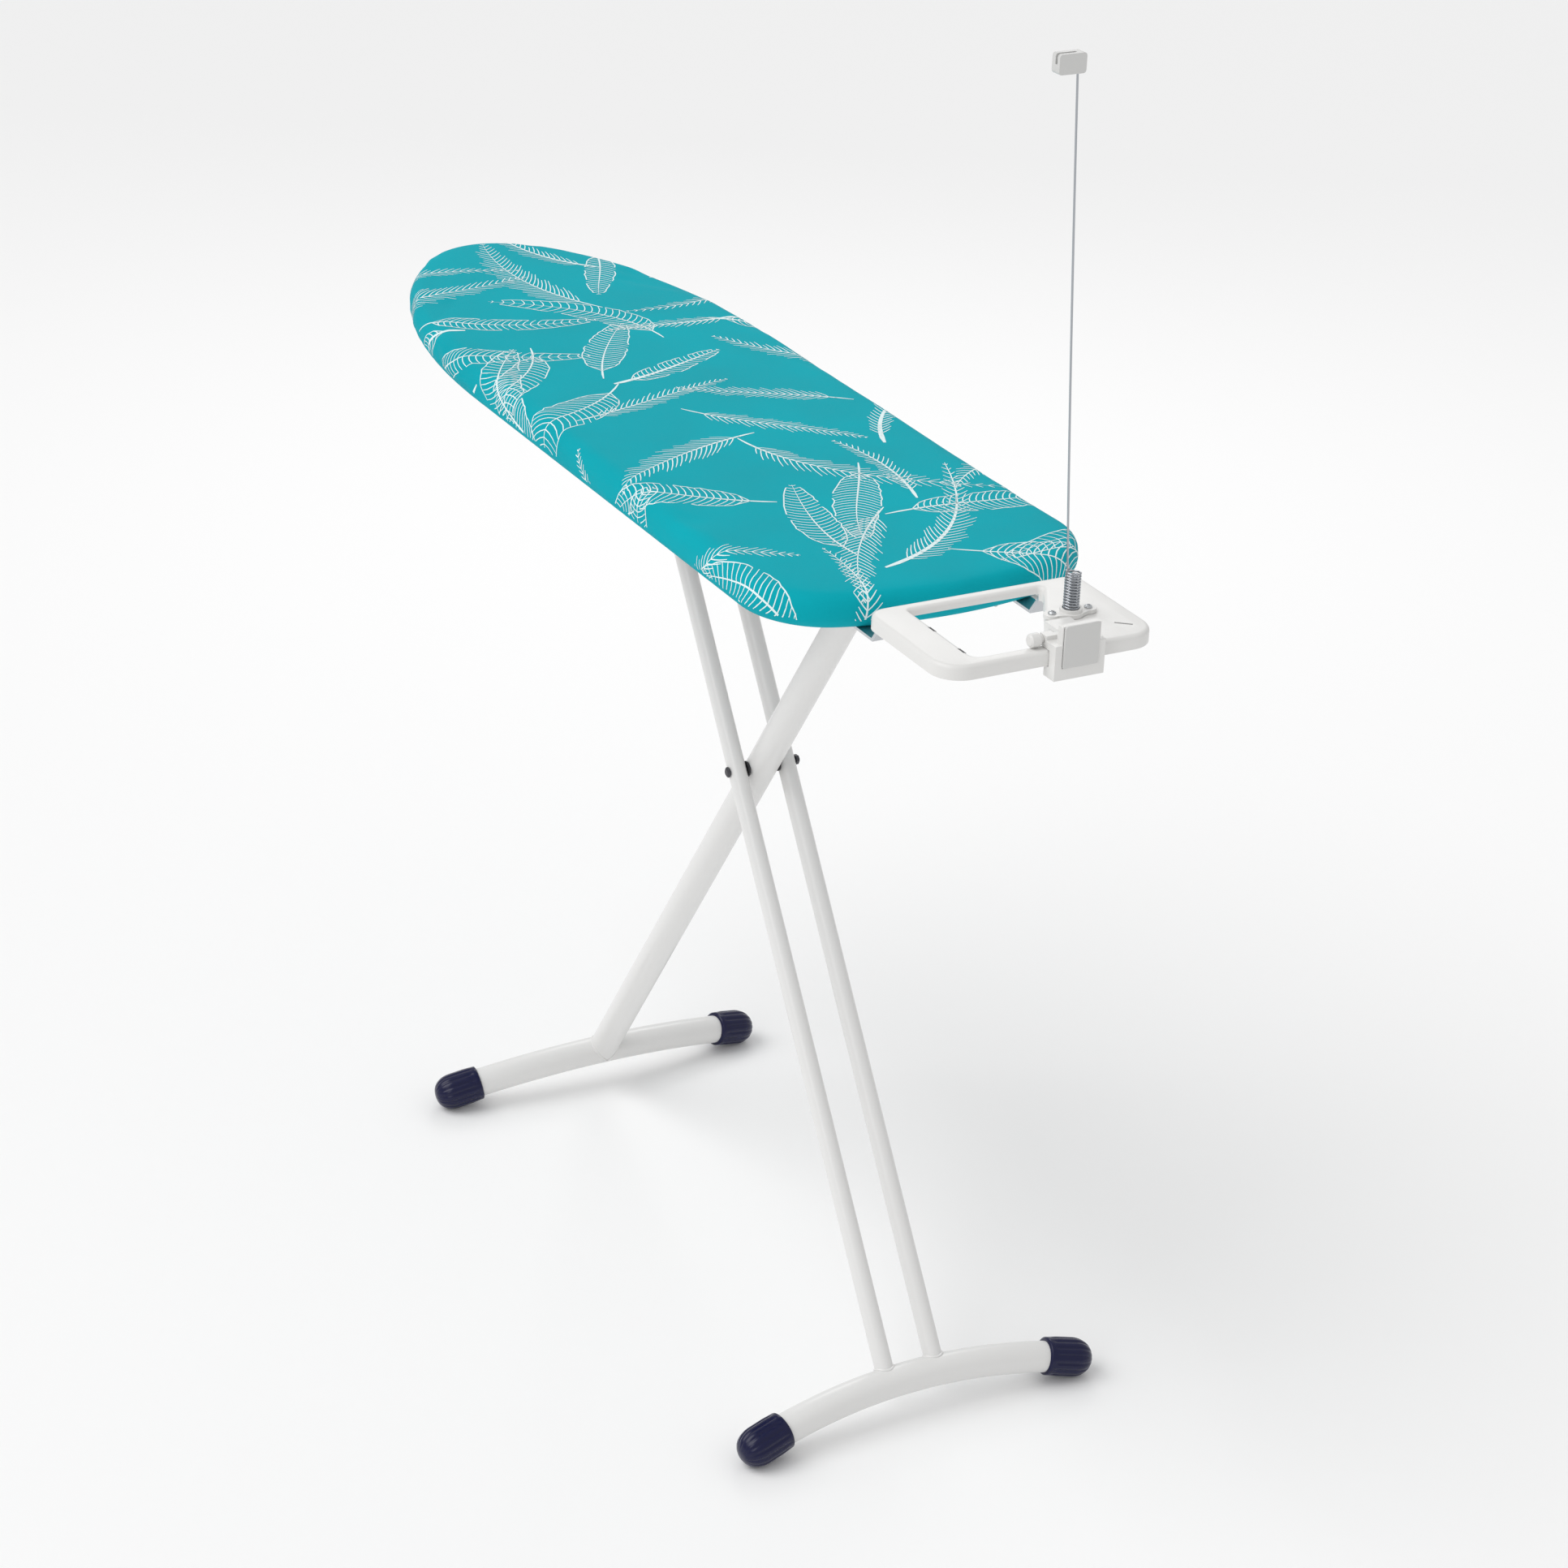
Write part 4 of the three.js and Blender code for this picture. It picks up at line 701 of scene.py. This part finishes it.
def half_outline():
    corner_y = HALF_WIDTH - CORNER_RADIUS
    end_x = BOARD_LENGTH - END_RADIUS
    corner_x = end_x + math.sqrt((END_RADIUS - CORNER_RADIUS) ** 2 - corner_y**2)
    end_angle = math.atan2(corner_y, corner_x - end_x)
    points = []
    for i in range(121):
        angle = math.pi / 2 * i / 120
        x = NOSE_LENGTH * (1 - max(math.cos(angle), 0) ** (2 / NOSE_POWERS[0]))
        points.append((x, HALF_WIDTH * math.sin(angle) ** (2 / NOSE_POWERS[1])))
    for i in range(25):
        angle = math.pi / 2 + i / 24 * (end_angle - math.pi / 2)
        x = corner_x + CORNER_RADIUS * math.cos(angle)
        points.append((x, corner_y + CORNER_RADIUS * math.sin(angle)))
    for i in range(1, 13):
        angle = end_angle * (1 - i / 12)
        points.append((end_x + END_RADIUS * math.cos(angle), END_RADIUS * math.sin(angle)))
    return np.array(points)


def even_loop(half_count):
    """The whole outline with evenly spaced points, the same on both sides of the middle line."""
    half = half_outline()
    travel = np.concatenate([[0], np.cumsum(np.linalg.norm(np.diff(half, axis=0), axis=1))])
    steps = np.linspace(0, travel[-1], half_count + 1)
    even = np.column_stack([np.interp(steps, travel, half[:, k]) for k in (0, 1)])
    mirrored = even[-2:0:-1] * [1, -1]
    return np.vstack([even, mirrored])


def inward_of(outline):
    tangent = np.roll(outline, -1, axis=0) - np.roll(outline, 1, axis=0)
    tangent /= np.linalg.norm(tangent, axis=1)[:, None]
    return np.column_stack([tangent[:, 1], -tangent[:, 0]])


loop = even_loop(RING_HALF)
inward = inward_of(loop)
spine = np.column_stack([np.clip(loop[:, 0], *SPINE_ENDS), np.zeros(len(loop))])


def ring(inset, z, share=0.0, ripple=0.0):
    """One ring: moved inwards by inset, and then towards the middle line by a share of the way."""
    flat = loop + inward * inset
    flat = flat + (spine - flat) * share
    turns = np.arange(len(loop)) * 2 * math.pi * HEM_RIPPLES / len(loop)
    wave = ripple * np.sin(turns + 1.7 * np.sin(loop[:, 0] * 9))
    return np.column_stack([flat[:, 0] + cover_low.x, flat[:, 1], np.full(len(loop), z) + wave])


def skin(rings):
    count = len(loop)
    faces = []
    for r in range(len(rings) - 1):
        for k in range(count):
            m = (k + 1) % count
            faces.append((r * count + k, r * count + m, (r + 1) * count + m, (r + 1) * count + k))
    return np.vstack(rings), faces


# %% Rings of the cover
EDGE_DEPTH = 0.0155
HEM_INSETS = (0.0262, 0.0255, 0.0235, 0.0205, 0.0180)
HEM_LIFT, HEM_RIPPLE = 0.0008, 0.0009
TOP_INSETS = (0.020, 0.026, 0.034)
TOP_LIFT, CROWN = 0.0002, 0.0008
middle = (cover_low.z + cover_high.z) / 2
half_height = (cover_high.z - cover_low.z) / 2
rings = []
for i, inset in enumerate(HEM_INSETS):
    rings.append(ring(inset, cover_low.z + HEM_LIFT, ripple=HEM_RIPPLE * (1 - i / len(HEM_INSETS))))
for i in range(15):
    angle = -math.pi / 2 + math.pi * i / 14
    inset = EDGE_DEPTH * (1 - math.cos(angle) ** 0.85) if 0 < i < 14 else EDGE_DEPTH
    rise = math.copysign(abs(math.sin(angle)) ** 0.9, math.sin(angle))
    rings.append(ring(inset, middle + half_height * rise))
for inset in TOP_INSETS:
    rings.append(ring(inset, cover_high.z + TOP_LIFT))
for i in range(1, 15):
    height = cover_high.z + TOP_LIFT + CROWN * math.sin(i / 14 * math.pi / 2)
    rings.append(ring(TOP_INSETS[-1], height, share=i / 14))
cover = mesh_piece("cloth_cover", *skin(rings), "cover", sharp=180)
if cover.data.polygons[len(cover.data.polygons) // 2].normal.z < 0 and cover.data.polygons[-1].normal.z < 0:
    cover.data.flip_normals()
print("cover cloth points:", len(cover.data.vertices))


# %% Let the cloth ripple
FULL_HOLD, HOLD_FADE, LEAST_HOLD = 0.004, 0.012, 0.03


def settle_cloth(piece, steps=14, cap=0.0016):
    rest_place = np.array([v.co for v in piece.data.vertices])
    low = rest_place[:, 2].min()
    held = piece.vertex_groups.new(name="held")
    for i, z in enumerate(rest_place[:, 2]):
        hold = np.clip(1 - (z - low - FULL_HOLD) / HOLD_FADE, LEAST_HOLD, 1)
        held.add([i], float(hold), "REPLACE")
    cloth = piece.modifiers.new("cloth", "CLOTH")
    cloth.settings.quality = 5
    cloth.settings.mass = 0.15
    cloth.settings.tension_stiffness = 18
    cloth.settings.compression_stiffness = 18
    cloth.settings.bending_stiffness = 0.8
    cloth.settings.shrink_min = -0.012
    cloth.settings.use_pressure = True
    cloth.settings.uniform_pressure_force = 0.6
    cloth.settings.vertex_group_mass = "held"
    cloth.settings.effector_weights.gravity = 0
    cloth.point_cache.frame_end = steps + 1
    for step in range(1, steps + 1):
        bpy.context.scene.frame_set(step)
    graph = bpy.context.evaluated_depsgraph_get()
    moved = np.array([v.co for v in piece.evaluated_get(graph).data.vertices]) - rest_place
    length = np.linalg.norm(moved, axis=1)
    share = np.minimum(1, cap / np.maximum(length, 1e-9))
    piece.modifiers.clear()
    piece.vertex_groups.clear()
    piece.data.vertices.foreach_set("co", (rest_place + moved * share[:, None]).ravel())
    piece.data.update()
    bpy.context.scene.frame_set(1)
    return float(length.max())


print("cloth moved up to", round(settle_cloth(cover) * 1000, 2), "mm before the cap")
smooth = cover.modifiers.new("smooth", "SUBSURF")
smooth.levels = smooth.render_levels = 1
cover = baked(cover, "cloth_cover", "cover")
shade(cover.data, 180)
surface = BVHTree.FromObject(cover, bpy.context.evaluated_depsgraph_get())
cloth = cover.modifiers.new("cloth_thickness", "SOLIDIFY")
cloth.thickness = 0.0010
cloth.offset = -1
stand_for(cover, "board", "cover", "board_cover")

# %% [markdown]
# The board itself is a formed steel tray. The same rings make it, a little inside the cloth, so that the
# mesh shows from below inside the hem and nothing pokes through the rolled edge.

# %% The board
CORE_INSET = 0.0065
CORE_EDGE = 0.010


def slab(name, node, inset, edge, under_inset, sink, under_rings, edge_steps, look):
    """A flat slab with rounded edges, from the middle of its underside to the middle of its top."""
    low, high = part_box(node)
    rings = [ring(under_inset, low.z, share=1 - i / under_rings) for i in range(under_rings)]
    for i in range(edge_steps + 1):
        angle = -math.pi / 2 + math.pi * i / edge_steps
        height = (low.z + high.z) / 2 + (high.z - low.z) / 2 * math.sin(angle)
        rings.append(ring(inset + edge * (1 - math.cos(angle)), height))
    rings += [ring(inset + edge, high.z - sink, share=i / 6) for i in range(1, 7)]
    piece = mesh_piece(name, *skin(rings), look, sharp=60)
    stand_for(piece, "board", look, node)
    return piece


core = slab("steel_board", "board_core", CORE_INSET, CORE_EDGE, CORE_INSET + CORE_EDGE, 0, 8, 12, "core")
print("steel board faces:", len(core.data.polygons))

# %% [markdown]
# Under the cover lies a felt pad. It is hidden when the board stands, but a part that comes apart needs
# it, so it is a soft slab with rounded edges, made with the same rings.

# %% The pad
PAD_EDGE = 0.0030
PAD_INSET = 0.0115
PAD_SINK = 0.0004
pad = slab("felt_pad", "foam_pad", PAD_INSET, PAD_EDGE, PAD_INSET, PAD_SINK, 6, 8, "padding")
print("felt pad faces:", len(pad.data.polygons))

# %% [markdown]
# ## The printed feathers
# The print is line drawn: a curved quill, fine barbs on both sides and sometimes a broken outline. It
# could be painted in a shader, but thin ribbons of ink that are dropped on to the cloth stay crisp from
# every side. Each feather gets its own bend, size and direction from a fixed random order.


# %% Where the flat print rolls over the edge
EDGE_ROLL = 0.0178
LOWEST_INK = -0.6
INK_LIFT = 0.0002
print_loop = even_loop(1500)
outwards = -inward_of(print_loop)
turn_line = print_loop - outwards * EDGE_DEPTH
nearest = KDTree(len(turn_line))
for i, (x, y) in enumerate(turn_line):
    nearest.insert((x + cover_low.x, y, 0), i)
nearest.balance()


def on_cloth(x, y):
    """The place on the cloth of a point of the flat print, or None below the edge."""
    flat = Vector((x, y, 0))
    place, i, _ = nearest.find(flat)
    out = Vector((*outwards[i], 0))
    past = max(0, (flat - place).dot(out))
    angle = math.pi / 2 - past / EDGE_ROLL
    if angle < LOWEST_INK:
        return None
    towards = out * math.cos(angle) + Vector((0, 0, math.sin(angle)))
    start = flat - out * past + Vector((0, 0, middle)) + towards * 0.06
    hit, normal, _, _ = surface.ray_cast(start, -towards, 0.1)
    return None if hit is None else hit + normal * INK_LIFT


print("print line points:", len(turn_line))


# %% One feather as flat ribbons
class Ink:
    def __init__(self):
        self.vertices = []
        self.faces = []

    def ribbon(self, points, widths):
        """A flat strip of ink along the points, laid on the cloth from above."""
        points, widths = self.finer(points, widths)
        rows = []
        for i, point in enumerate(points):
            before, after = points[max(i - 1, 0)], points[min(i + 1, len(points) - 1)]
            along = (after - before).normalized()
            aside = Vector((-along.y, along.x)) * widths[i] / 2
            rows.append([on_cloth(*(point + aside)), on_cloth(*(point - aside))])
        for a, b in zip(rows, rows[1:]):
            if None not in (*a, *b):
                start = len(self.vertices)
                self.vertices += [a[0], a[1], b[1], b[0]]
                self.faces.append((start, start + 1, start + 2, start + 3))

    def finer(self, points, widths, step=0.0035):
        """More points on the same line, so that the strip follows the rolled edge."""
        close_points, close_widths = [points[0]], [widths[0]]
        for i in range(1, len(points)):
            parts = max(1, math.ceil((points[i] - points[i - 1]).length / step))
            for k in range(1, parts + 1):
                close_points.append(points[i - 1].lerp(points[i], k / parts))
                close_widths.append(widths[i - 1] + (widths[i] - widths[i - 1]) * k / parts)
        return close_points, close_widths


QUILL_WIDTHS = (0.0060, 0.0042, 0.0032, 0.0026, 0.0026)
BARB_WIDTHS = (0.0013, 0.0013, 0.0012, 0.0008)
OUTLINE_WIDTH = 0.0014


def feather(ink, chance, base, heading, length, width, leaf):
    forward = Vector((math.cos(heading), math.sin(heading)))
    left = Vector((-forward.y, forward.x))
    bend = chance.choice((-1, 1)) * chance.uniform(0.15, 0.55) / length
    curl = chance.uniform(-0.3, 0.3) / length**2

    def quill(s):
        return base + forward * s + left * (bend * s * s + curl * s**3)

    steps = 14
    thick = chance.choice(QUILL_WIDTHS)
    spine_points = [quill(length * i / steps) for i in range(steps + 1)]
    spine_widths = [thick * (1 - 0.85 * i / steps) * (0.5 if i == 0 else 1) for i in range(steps + 1)]
    ink.ribbon(spine_points, spine_widths)
    count = round(length / (0.0082 if leaf else 0.0085))
    start, end = (0.14 if leaf else 0.10), 0.985
    for side in (-1, 1):
        tips = []
        for i in range(count):
            share = start + (end - start) * i / (count - 1)
            along = ((share - start) / (1 - start)) ** (0.62 if leaf else 0.5)
            fullness = math.sin(math.pi * min(1, along)) ** 0.55
            reach = width * max(fullness, 0.05) * chance.uniform(0.88 if leaf else 0.62, 1.0)
            sweep_back = reach * (0.55 if leaf else 1.25)
            root = quill(length * share)
            slope = (quill(length * share + 1e-3) - root).normalized()
            out = Vector((-slope.y, slope.x)) * side
            tip = root + out * reach + slope * sweep_back
            knee = root + out * reach * 0.55 + slope * sweep_back * (0.22 if leaf else 0.42)
            line = [root.lerp(knee, t).lerp(knee.lerp(tip, t), t) for t in (0, 0.3, 0.6, 1)]
            ink.ribbon(line, BARB_WIDTHS)
            tips.append(tip)
        if leaf:
            pieces = chance.choice((2, 3))
            for k in range(pieces):
                part = tips[k * count // pieces : (k + 1) * count // pieces - 1]
                ink.ribbon(part, [OUTLINE_WIDTH] * len(part))


# %% Scatter the feathers
def scatter_feathers(seed=11, spacing=0.132):
    chance = random.Random(seed)
    ink = Ink()
    count = 0
    row_step = spacing * 0.86
    rows = int(BOARD_LENGTH / row_step) + 2
    for row in range(rows):
        for column in range(-2, 3):
            x = cover_low.x + row_step * (row - 0.3) + chance.uniform(-0.03, 0.03)
            y = spacing * (column + 0.5 * (row % 2) - 0.25) + chance.uniform(-0.03, 0.03)
            heading = (count * 2.399 + chance.uniform(-0.4, 0.4)) % (2 * math.pi)
            length = chance.uniform(0.15, 0.26)
            leaf = chance.random() < 0.5
            width = length * (chance.uniform(0.10, 0.14) if leaf else chance.uniform(0.08, 0.13))
            forward = Vector((math.cos(heading), math.sin(heading)))
            base = Vector((x, y)) - forward * length / 2
            feather(ink, chance, base, heading, length, width, leaf)
            count += 1
    return ink, count


ink, count = scatter_feathers()
mesh = bpy.data.meshes.new("feather_print")
mesh.from_pydata(ink.vertices, [], ink.faces)
print_piece = linked("feather_print", mesh)
mesh.materials.append(finish["print"])
work = bmesh.new()
work.from_mesh(mesh)
bmesh.ops.remove_doubles(work, verts=work.verts, dist=1e-6)
work.to_mesh(mesh)
work.free()
stand_for(print_piece, "board", "cover")
print("feathers:", count, "ink faces:", len(mesh.polygons))

# %% [markdown]
# ## Things that repeat
# Screws, stitches and coils follow a rule, so Geometry Nodes make them. Each tree has named inputs, ends
# in Realize Instances and Set Material, and its result is baked to a plain mesh.


# %% Geometry Nodes helpers
def new_tree(name, inputs):
    tree = bpy.data.node_groups.new(name, "GeometryNodeTree")
    tree.interface.new_socket("Geometry", in_out="INPUT", socket_type="NodeSocketGeometry")
    sockets = {}
    for label, kind in inputs.items():
        sockets[label] = tree.interface.new_socket(label, in_out="INPUT", socket_type=kind)
    tree.interface.new_socket("Geometry", in_out="OUTPUT", socket_type="NodeSocketGeometry")
    return tree, sockets, tree.nodes.new("NodeGroupInput"), tree.nodes.new("NodeGroupOutput")


def finish_tree(tree, geometry, output, look):
    realize = add_node(tree, "GeometryNodeRealizeInstances", Geometry=geometry)
    smoothed = add_node(tree, "GeometryNodeSetShadeSmooth", Geometry=realize.outputs[0])
    paint = add_node(tree, "GeometryNodeSetMaterial", Geometry=smoothed.outputs[0], Material=finish[look])
    tree.links.new(paint.outputs[0], output.inputs[0])


def grow(name, tree, sockets, values, look, points=()):
    mesh = bpy.data.meshes.new(name)
    mesh.from_pydata([tuple(p) for p in points], [(i, i + 1) for i in range(len(points) - 1)], [])
    holder = linked(name, mesh)
    modifier = holder.modifiers.new("build", "NODES")
    modifier.node_group = tree
    for label, value in values.items():
        modifier[sockets[label].identifier] = value
    return baked(holder, name, look)


# %% Coils
def coil_tree(look):
    kinds = dict.fromkeys(("Turns", "Radius", "Height", "Wire"), "NodeSocketFloat")
    tree, sockets, given, output = new_tree(f"coil_{look}", kinds)
    radius, turns, height = (given.outputs[label] for label in ("Radius", "Turns", "Height"))
    spiral = add_node(
        tree, "GeometryNodeCurveSpiral", Resolution=28, Rotations=turns,
        Start_Radius=radius, End_Radius=radius, Height=height,
    )
    wire = given.outputs["Wire"]
    circle = add_node(tree, "GeometryNodeCurvePrimitiveCircle", Resolution=10, Radius=wire)
    tube = add_node(tree, "GeometryNodeCurveToMesh", Curve=spiral.outputs[0], Fill_Caps=True)
    tree.links.new(circle.outputs[0], tube.inputs["Profile Curve"])
    finish_tree(tree, tube.outputs[0], output, look)
    return tree, sockets


def merged(piece):
    tidy_mesh(piece.data)
    shade(piece.data, 50)
    return piece


spring_low, spring_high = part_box("mast_spring")
spring_x, spring_y = (spring_low.x + spring_high.x) / 2, (spring_low.y + spring_high.y) / 2
WIRE = 0.0011
SPRING_RADIUS = 0.0082
height = spring_high.z - spring_low.z - 2 * WIRE
spring_values = {"Turns": 13.5, "Radius": SPRING_RADIUS - WIRE, "Height": height, "Wire": WIRE}
coil = merged(grow("mast_coil", *coil_tree("chrome"), spring_values, "chrome"))
coil.data.transform(Matrix.Translation((spring_x, spring_y, spring_low.z + WIRE)))
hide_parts("mast_spring")
coil_foot = (spring_x, spring_y, spring_low.z + 0.006)
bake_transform(coil, "board", "mast", start=coil_foot, end=(spring_x, spring_y, spring_high.z))
LEVER_SPRING_RADIUS = 0.0048
LEVER_WIRE = 0.00055
LEVER_SPRING_GAP = 0.0006
lever_low, lever_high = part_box("lever_spring")
height = lever_high.y - lever_low.y - 2 * LEVER_SPRING_GAP
lever_values = {"Turns": 6.0, "Radius": LEVER_SPRING_RADIUS, "Height": height, "Wire": LEVER_WIRE}
lever_coil = merged(grow("lever_coil", *coil_tree("dark_steel"), lever_values, "dark_steel"))
lever_x, lever_z = (lever_low.x + lever_high.x) / 2, (lever_low.z + lever_high.z) / 2
lever_place = Matrix.Translation((lever_x, lever_low.y + LEVER_SPRING_GAP, lever_z))
lever_coil.data.transform(lever_place @ Matrix.Rotation(-math.pi / 2, 4, "X"))
stand_for(lever_coil, "board", "dark_steel", "lever_spring")
print("coils done")

# %% [markdown]
# Every screw has the same domed head with a cross recess. One head is made in mesh code, and the tree
# puts a copy on each screw's place.


# %% One screw head
HEAD_PROFILE = (
    (0, -0.0024), (0.0014, -0.0023), (0.0028, -0.0019), (0.0037, -0.0012), (0.0041, -0.0003), (0.0041, 0),
)
RECESS_REACH, RECESS_HALF_WIDTH, RECESS_FLOOR = 0.0022, 0.00045, -0.0011
HEAD_SEAT = 0.0022


def screw_head(sides=32):
    vertices, faces = [], []
    for r, z in HEAD_PROFILE:
        for k in range(sides):
            angle = 2 * math.pi * k / sides
            vertices.append((r * math.cos(angle), r * math.sin(angle), z))
    for row in range(0, (len(HEAD_PROFILE) - 1) * sides, sides):
        for k in range(sides):
            m = (k + 1) % sides
            faces.append((row + k, row + m, row + sides + m, row + sides + k))
    faces.append(tuple(range(len(vertices) - sides, len(vertices))))
    head = mesh_piece("screw_head", vertices, faces, "zinc")
    arms = []
    for x, y in ((RECESS_REACH, RECESS_HALF_WIDTH), (RECESS_HALF_WIDTH, RECESS_REACH)):
        arms.append(box_piece(-x, x, -y, y, -0.004, RECESS_FLOOR))
    for arm in arms:
        cut_away(head, arm)
    head = baked(head, "screw_head", "zinc")
    for arm in arms:
        bpy.data.objects.remove(arm)
    shade(head.data, 35)
    return head


def screw_tree(head):
    kinds = {"Head": "NodeSocketObject", "Turn": "NodeSocketRotation"}
    tree, sockets, given, output = new_tree("screws_in_place", kinds)
    info = add_node(tree, "GeometryNodeObjectInfo", Object=given.outputs["Head"])
    place = add_node(
        tree, "GeometryNodeInstanceOnPoints", Points=given.outputs["Geometry"],
        Instance=info.outputs["Geometry"], Rotation=given.outputs["Turn"],
    )
    finish_tree(tree, place.outputs[0], output, "zinc")
    return tree, sockets


head = screw_head()
tree, sockets = screw_tree(head)
under = [n for n in body_of if "screw" in n and not n.startswith("socket")]
upper = [n for n in body_of if n.startswith("socket_screw")]


def head_place(node, above):
    low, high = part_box(node)
    return ((low.x + high.x) / 2, (low.y + high.y) / 2, high.z - HEAD_SEAT if above else low.z + HEAD_SEAT)


places = [head_place(node, False) for node in under]
under_heads = grow("under_screws", tree, sockets, {"Head": head}, "zinc", places)
places = [head_place(node, True) for node in upper]
upper_heads = grow("socket_screws", tree, sockets, {"Head": head, "Turn": (math.pi, 0, 0)}, "zinc", places)
for heads, nodes in ((under_heads, under), (upper_heads, upper)):
    shade(heads.data, 35)
    stand_for(heads, "board", "zinc", *nodes)
bpy.data.objects.remove(head)
print("screws:", len(under), "+", len(upper))


# %% Stitches along the hem
def stitch_tree():
    kinds = dict.fromkeys(("Gap", "Length", "Thread"), "NodeSocketFloat")
    tree, sockets, given, output = new_tree("hem_stitches", kinds)
    to_curve = add_node(tree, "GeometryNodeMeshToCurve", Mesh=given.outputs["Geometry"])
    even = add_node(tree, "GeometryNodeCurveToPoints", Curve=to_curve.outputs[0])
    even.mode = "LENGTH"
    tree.links.new(given.outputs["Gap"], even.inputs["Length"])
    radius, depth = given.outputs["Thread"], given.outputs["Length"]
    thread = add_node(tree, "GeometryNodeMeshCylinder", Vertices=6, Radius=radius, Depth=depth)
    place = add_node(
        tree, "GeometryNodeInstanceOnPoints", Points=even.outputs["Points"],
        Rotation=even.outputs["Rotation"], Instance=thread.outputs["Mesh"],
    )
    finish_tree(tree, place.outputs[0], output, "print")
    return tree, sockets


STITCH_INSET = 0.0225
hem_path = [tuple(p) for p in ring(STITCH_INSET, cover_low.z + 0.0001)]
stitch_values = {"Gap": 0.0055, "Length": 0.0034, "Thread": 0.0004}
stitches = grow("hem_stitches", *stitch_tree(), stitch_values, "print", hem_path)
stand_for(stitches, "board", "cover")
print("stitch faces:", len(stitches.data.polygons))

# %% [markdown]
# ## The mast
# The mast is a springy wire that carries on from the top of the coil. It leans a little, so it follows
# a curve from the coil's rim to the clip that holds the iron's cable.

# %% The wire
wire_low, wire_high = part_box("mast_wire")
MAST_WIRE = 0.0011
MAST_BOW = 0.002
foot = Vector((spring_x, wire_high.y - MAST_WIRE, wire_low.z - 0.001))
tip = Vector((spring_x, wire_low.y + MAST_WIRE, wire_high.z))
bow = Vector((spring_x, (foot.y + tip.y) / 2 - MAST_BOW, (foot.z + tip.z) / 2))
mast_path = [foot.lerp(bow, t / 40).lerp(bow.lerp(tip, t / 40), t / 40) for t in range(41)]
mast = mesh_piece("mast_steel_wire", *sweep(mast_path, MAST_WIRE, 16), "chrome")
stand_for(mast, "mast", "chrome", "mast_wire")
print("mast height:", round(tip.z, 3))

# %% [markdown]
# ## Floor, light and camera
# A wide pale floor and large soft lights keep the shadows gentle, as in a catalogue studio.


# %% The studio
FLOOR_REACH = 30
FLOOR_DROP = 0.0004


def studio():
    work = bmesh.new()
    bmesh.ops.create_grid(work, x_segments=4, y_segments=4, size=FLOOR_REACH)
    mesh = bpy.data.meshes.new("studio_floor")
    work.to_mesh(mesh)
    work.free()
    floor = linked("studio_floor", mesh)
    floor.location.z = -FLOOR_DROP
    material, shader = new_finish("floor_finish", (0.95, 0.95, 0.95), 0.8, Specular_IOR_Level=0.1)
    mesh.materials.append(grain(material, shader, 0.75, 0.85, 60.0, 0.05))
    world = bpy.data.worlds.new("studio_world")
    bpy.context.scene.world = world
    world.use_nodes = True
    background = world.node_tree.nodes["Background"]
    background.inputs["Color"].default_value = (1, 1, 1, 1)
    background.inputs["Strength"].default_value = 0.62


def soft_light(name, place, aim, size, power):
    light = bpy.data.lights.new(name, "AREA")
    light.shape = "RECTANGLE"
    light.size, light.size_y = size
    light.energy = power
    lamp = linked(name, light)
    lamp.location = place
    lamp.rotation_euler = (Vector(aim) - Vector(place)).to_track_quat("-Z", "Y").to_euler()


studio()
sun = bpy.data.lights.new("window_light", "SUN")
sun.energy = 1.15
sun.angle = math.radians(45)
window = linked("window_light", sun)
window.rotation_euler = Vector((0.25, 0.75, -1.1)).to_track_quat("-Z", "Y").to_euler()
soft_light("shine_light", (2.2, -3.0, 2.6), (0, 0, 0.6), (1.2, 2.4), 16)
soft_light("back_light", (-2.6, 1.6, 2.6), (0, 0, 0.8), (1.6, 1.2), 14)
bpy.context.scene.view_settings.view_transform = "Standard"

# %% The camera
AIM = Vector((-0.0419, 0.1134, 0.4993))
AZIMUTH, ELEVATION, ROLL = (math.radians(a) for a in (-28.8758, 25.5208, 2.2465))
DISTANCE = 4.3022
LENS = 84.43
flat = math.cos(ELEVATION)
back = Vector((flat * math.cos(AZIMUTH), flat * math.sin(AZIMUTH), math.sin(ELEVATION)))
right = Vector((0, 0, 1)).cross(back).normalized()
up = back.cross(right)
rolled_right = right * math.cos(ROLL) + up * math.sin(ROLL)
rolled_up = up * math.cos(ROLL) - right * math.sin(ROLL)
camera = linked("camera", bpy.data.cameras.new("camera"))
camera.data.lens = LENS
camera.data.sensor_width = 36
camera.matrix_world = Matrix.Translation(AIM + back * DISTANCE) @ Matrix(
    (rolled_right, rolled_up, back)
).transposed().to_4x4()
bpy.context.scene.camera = camera
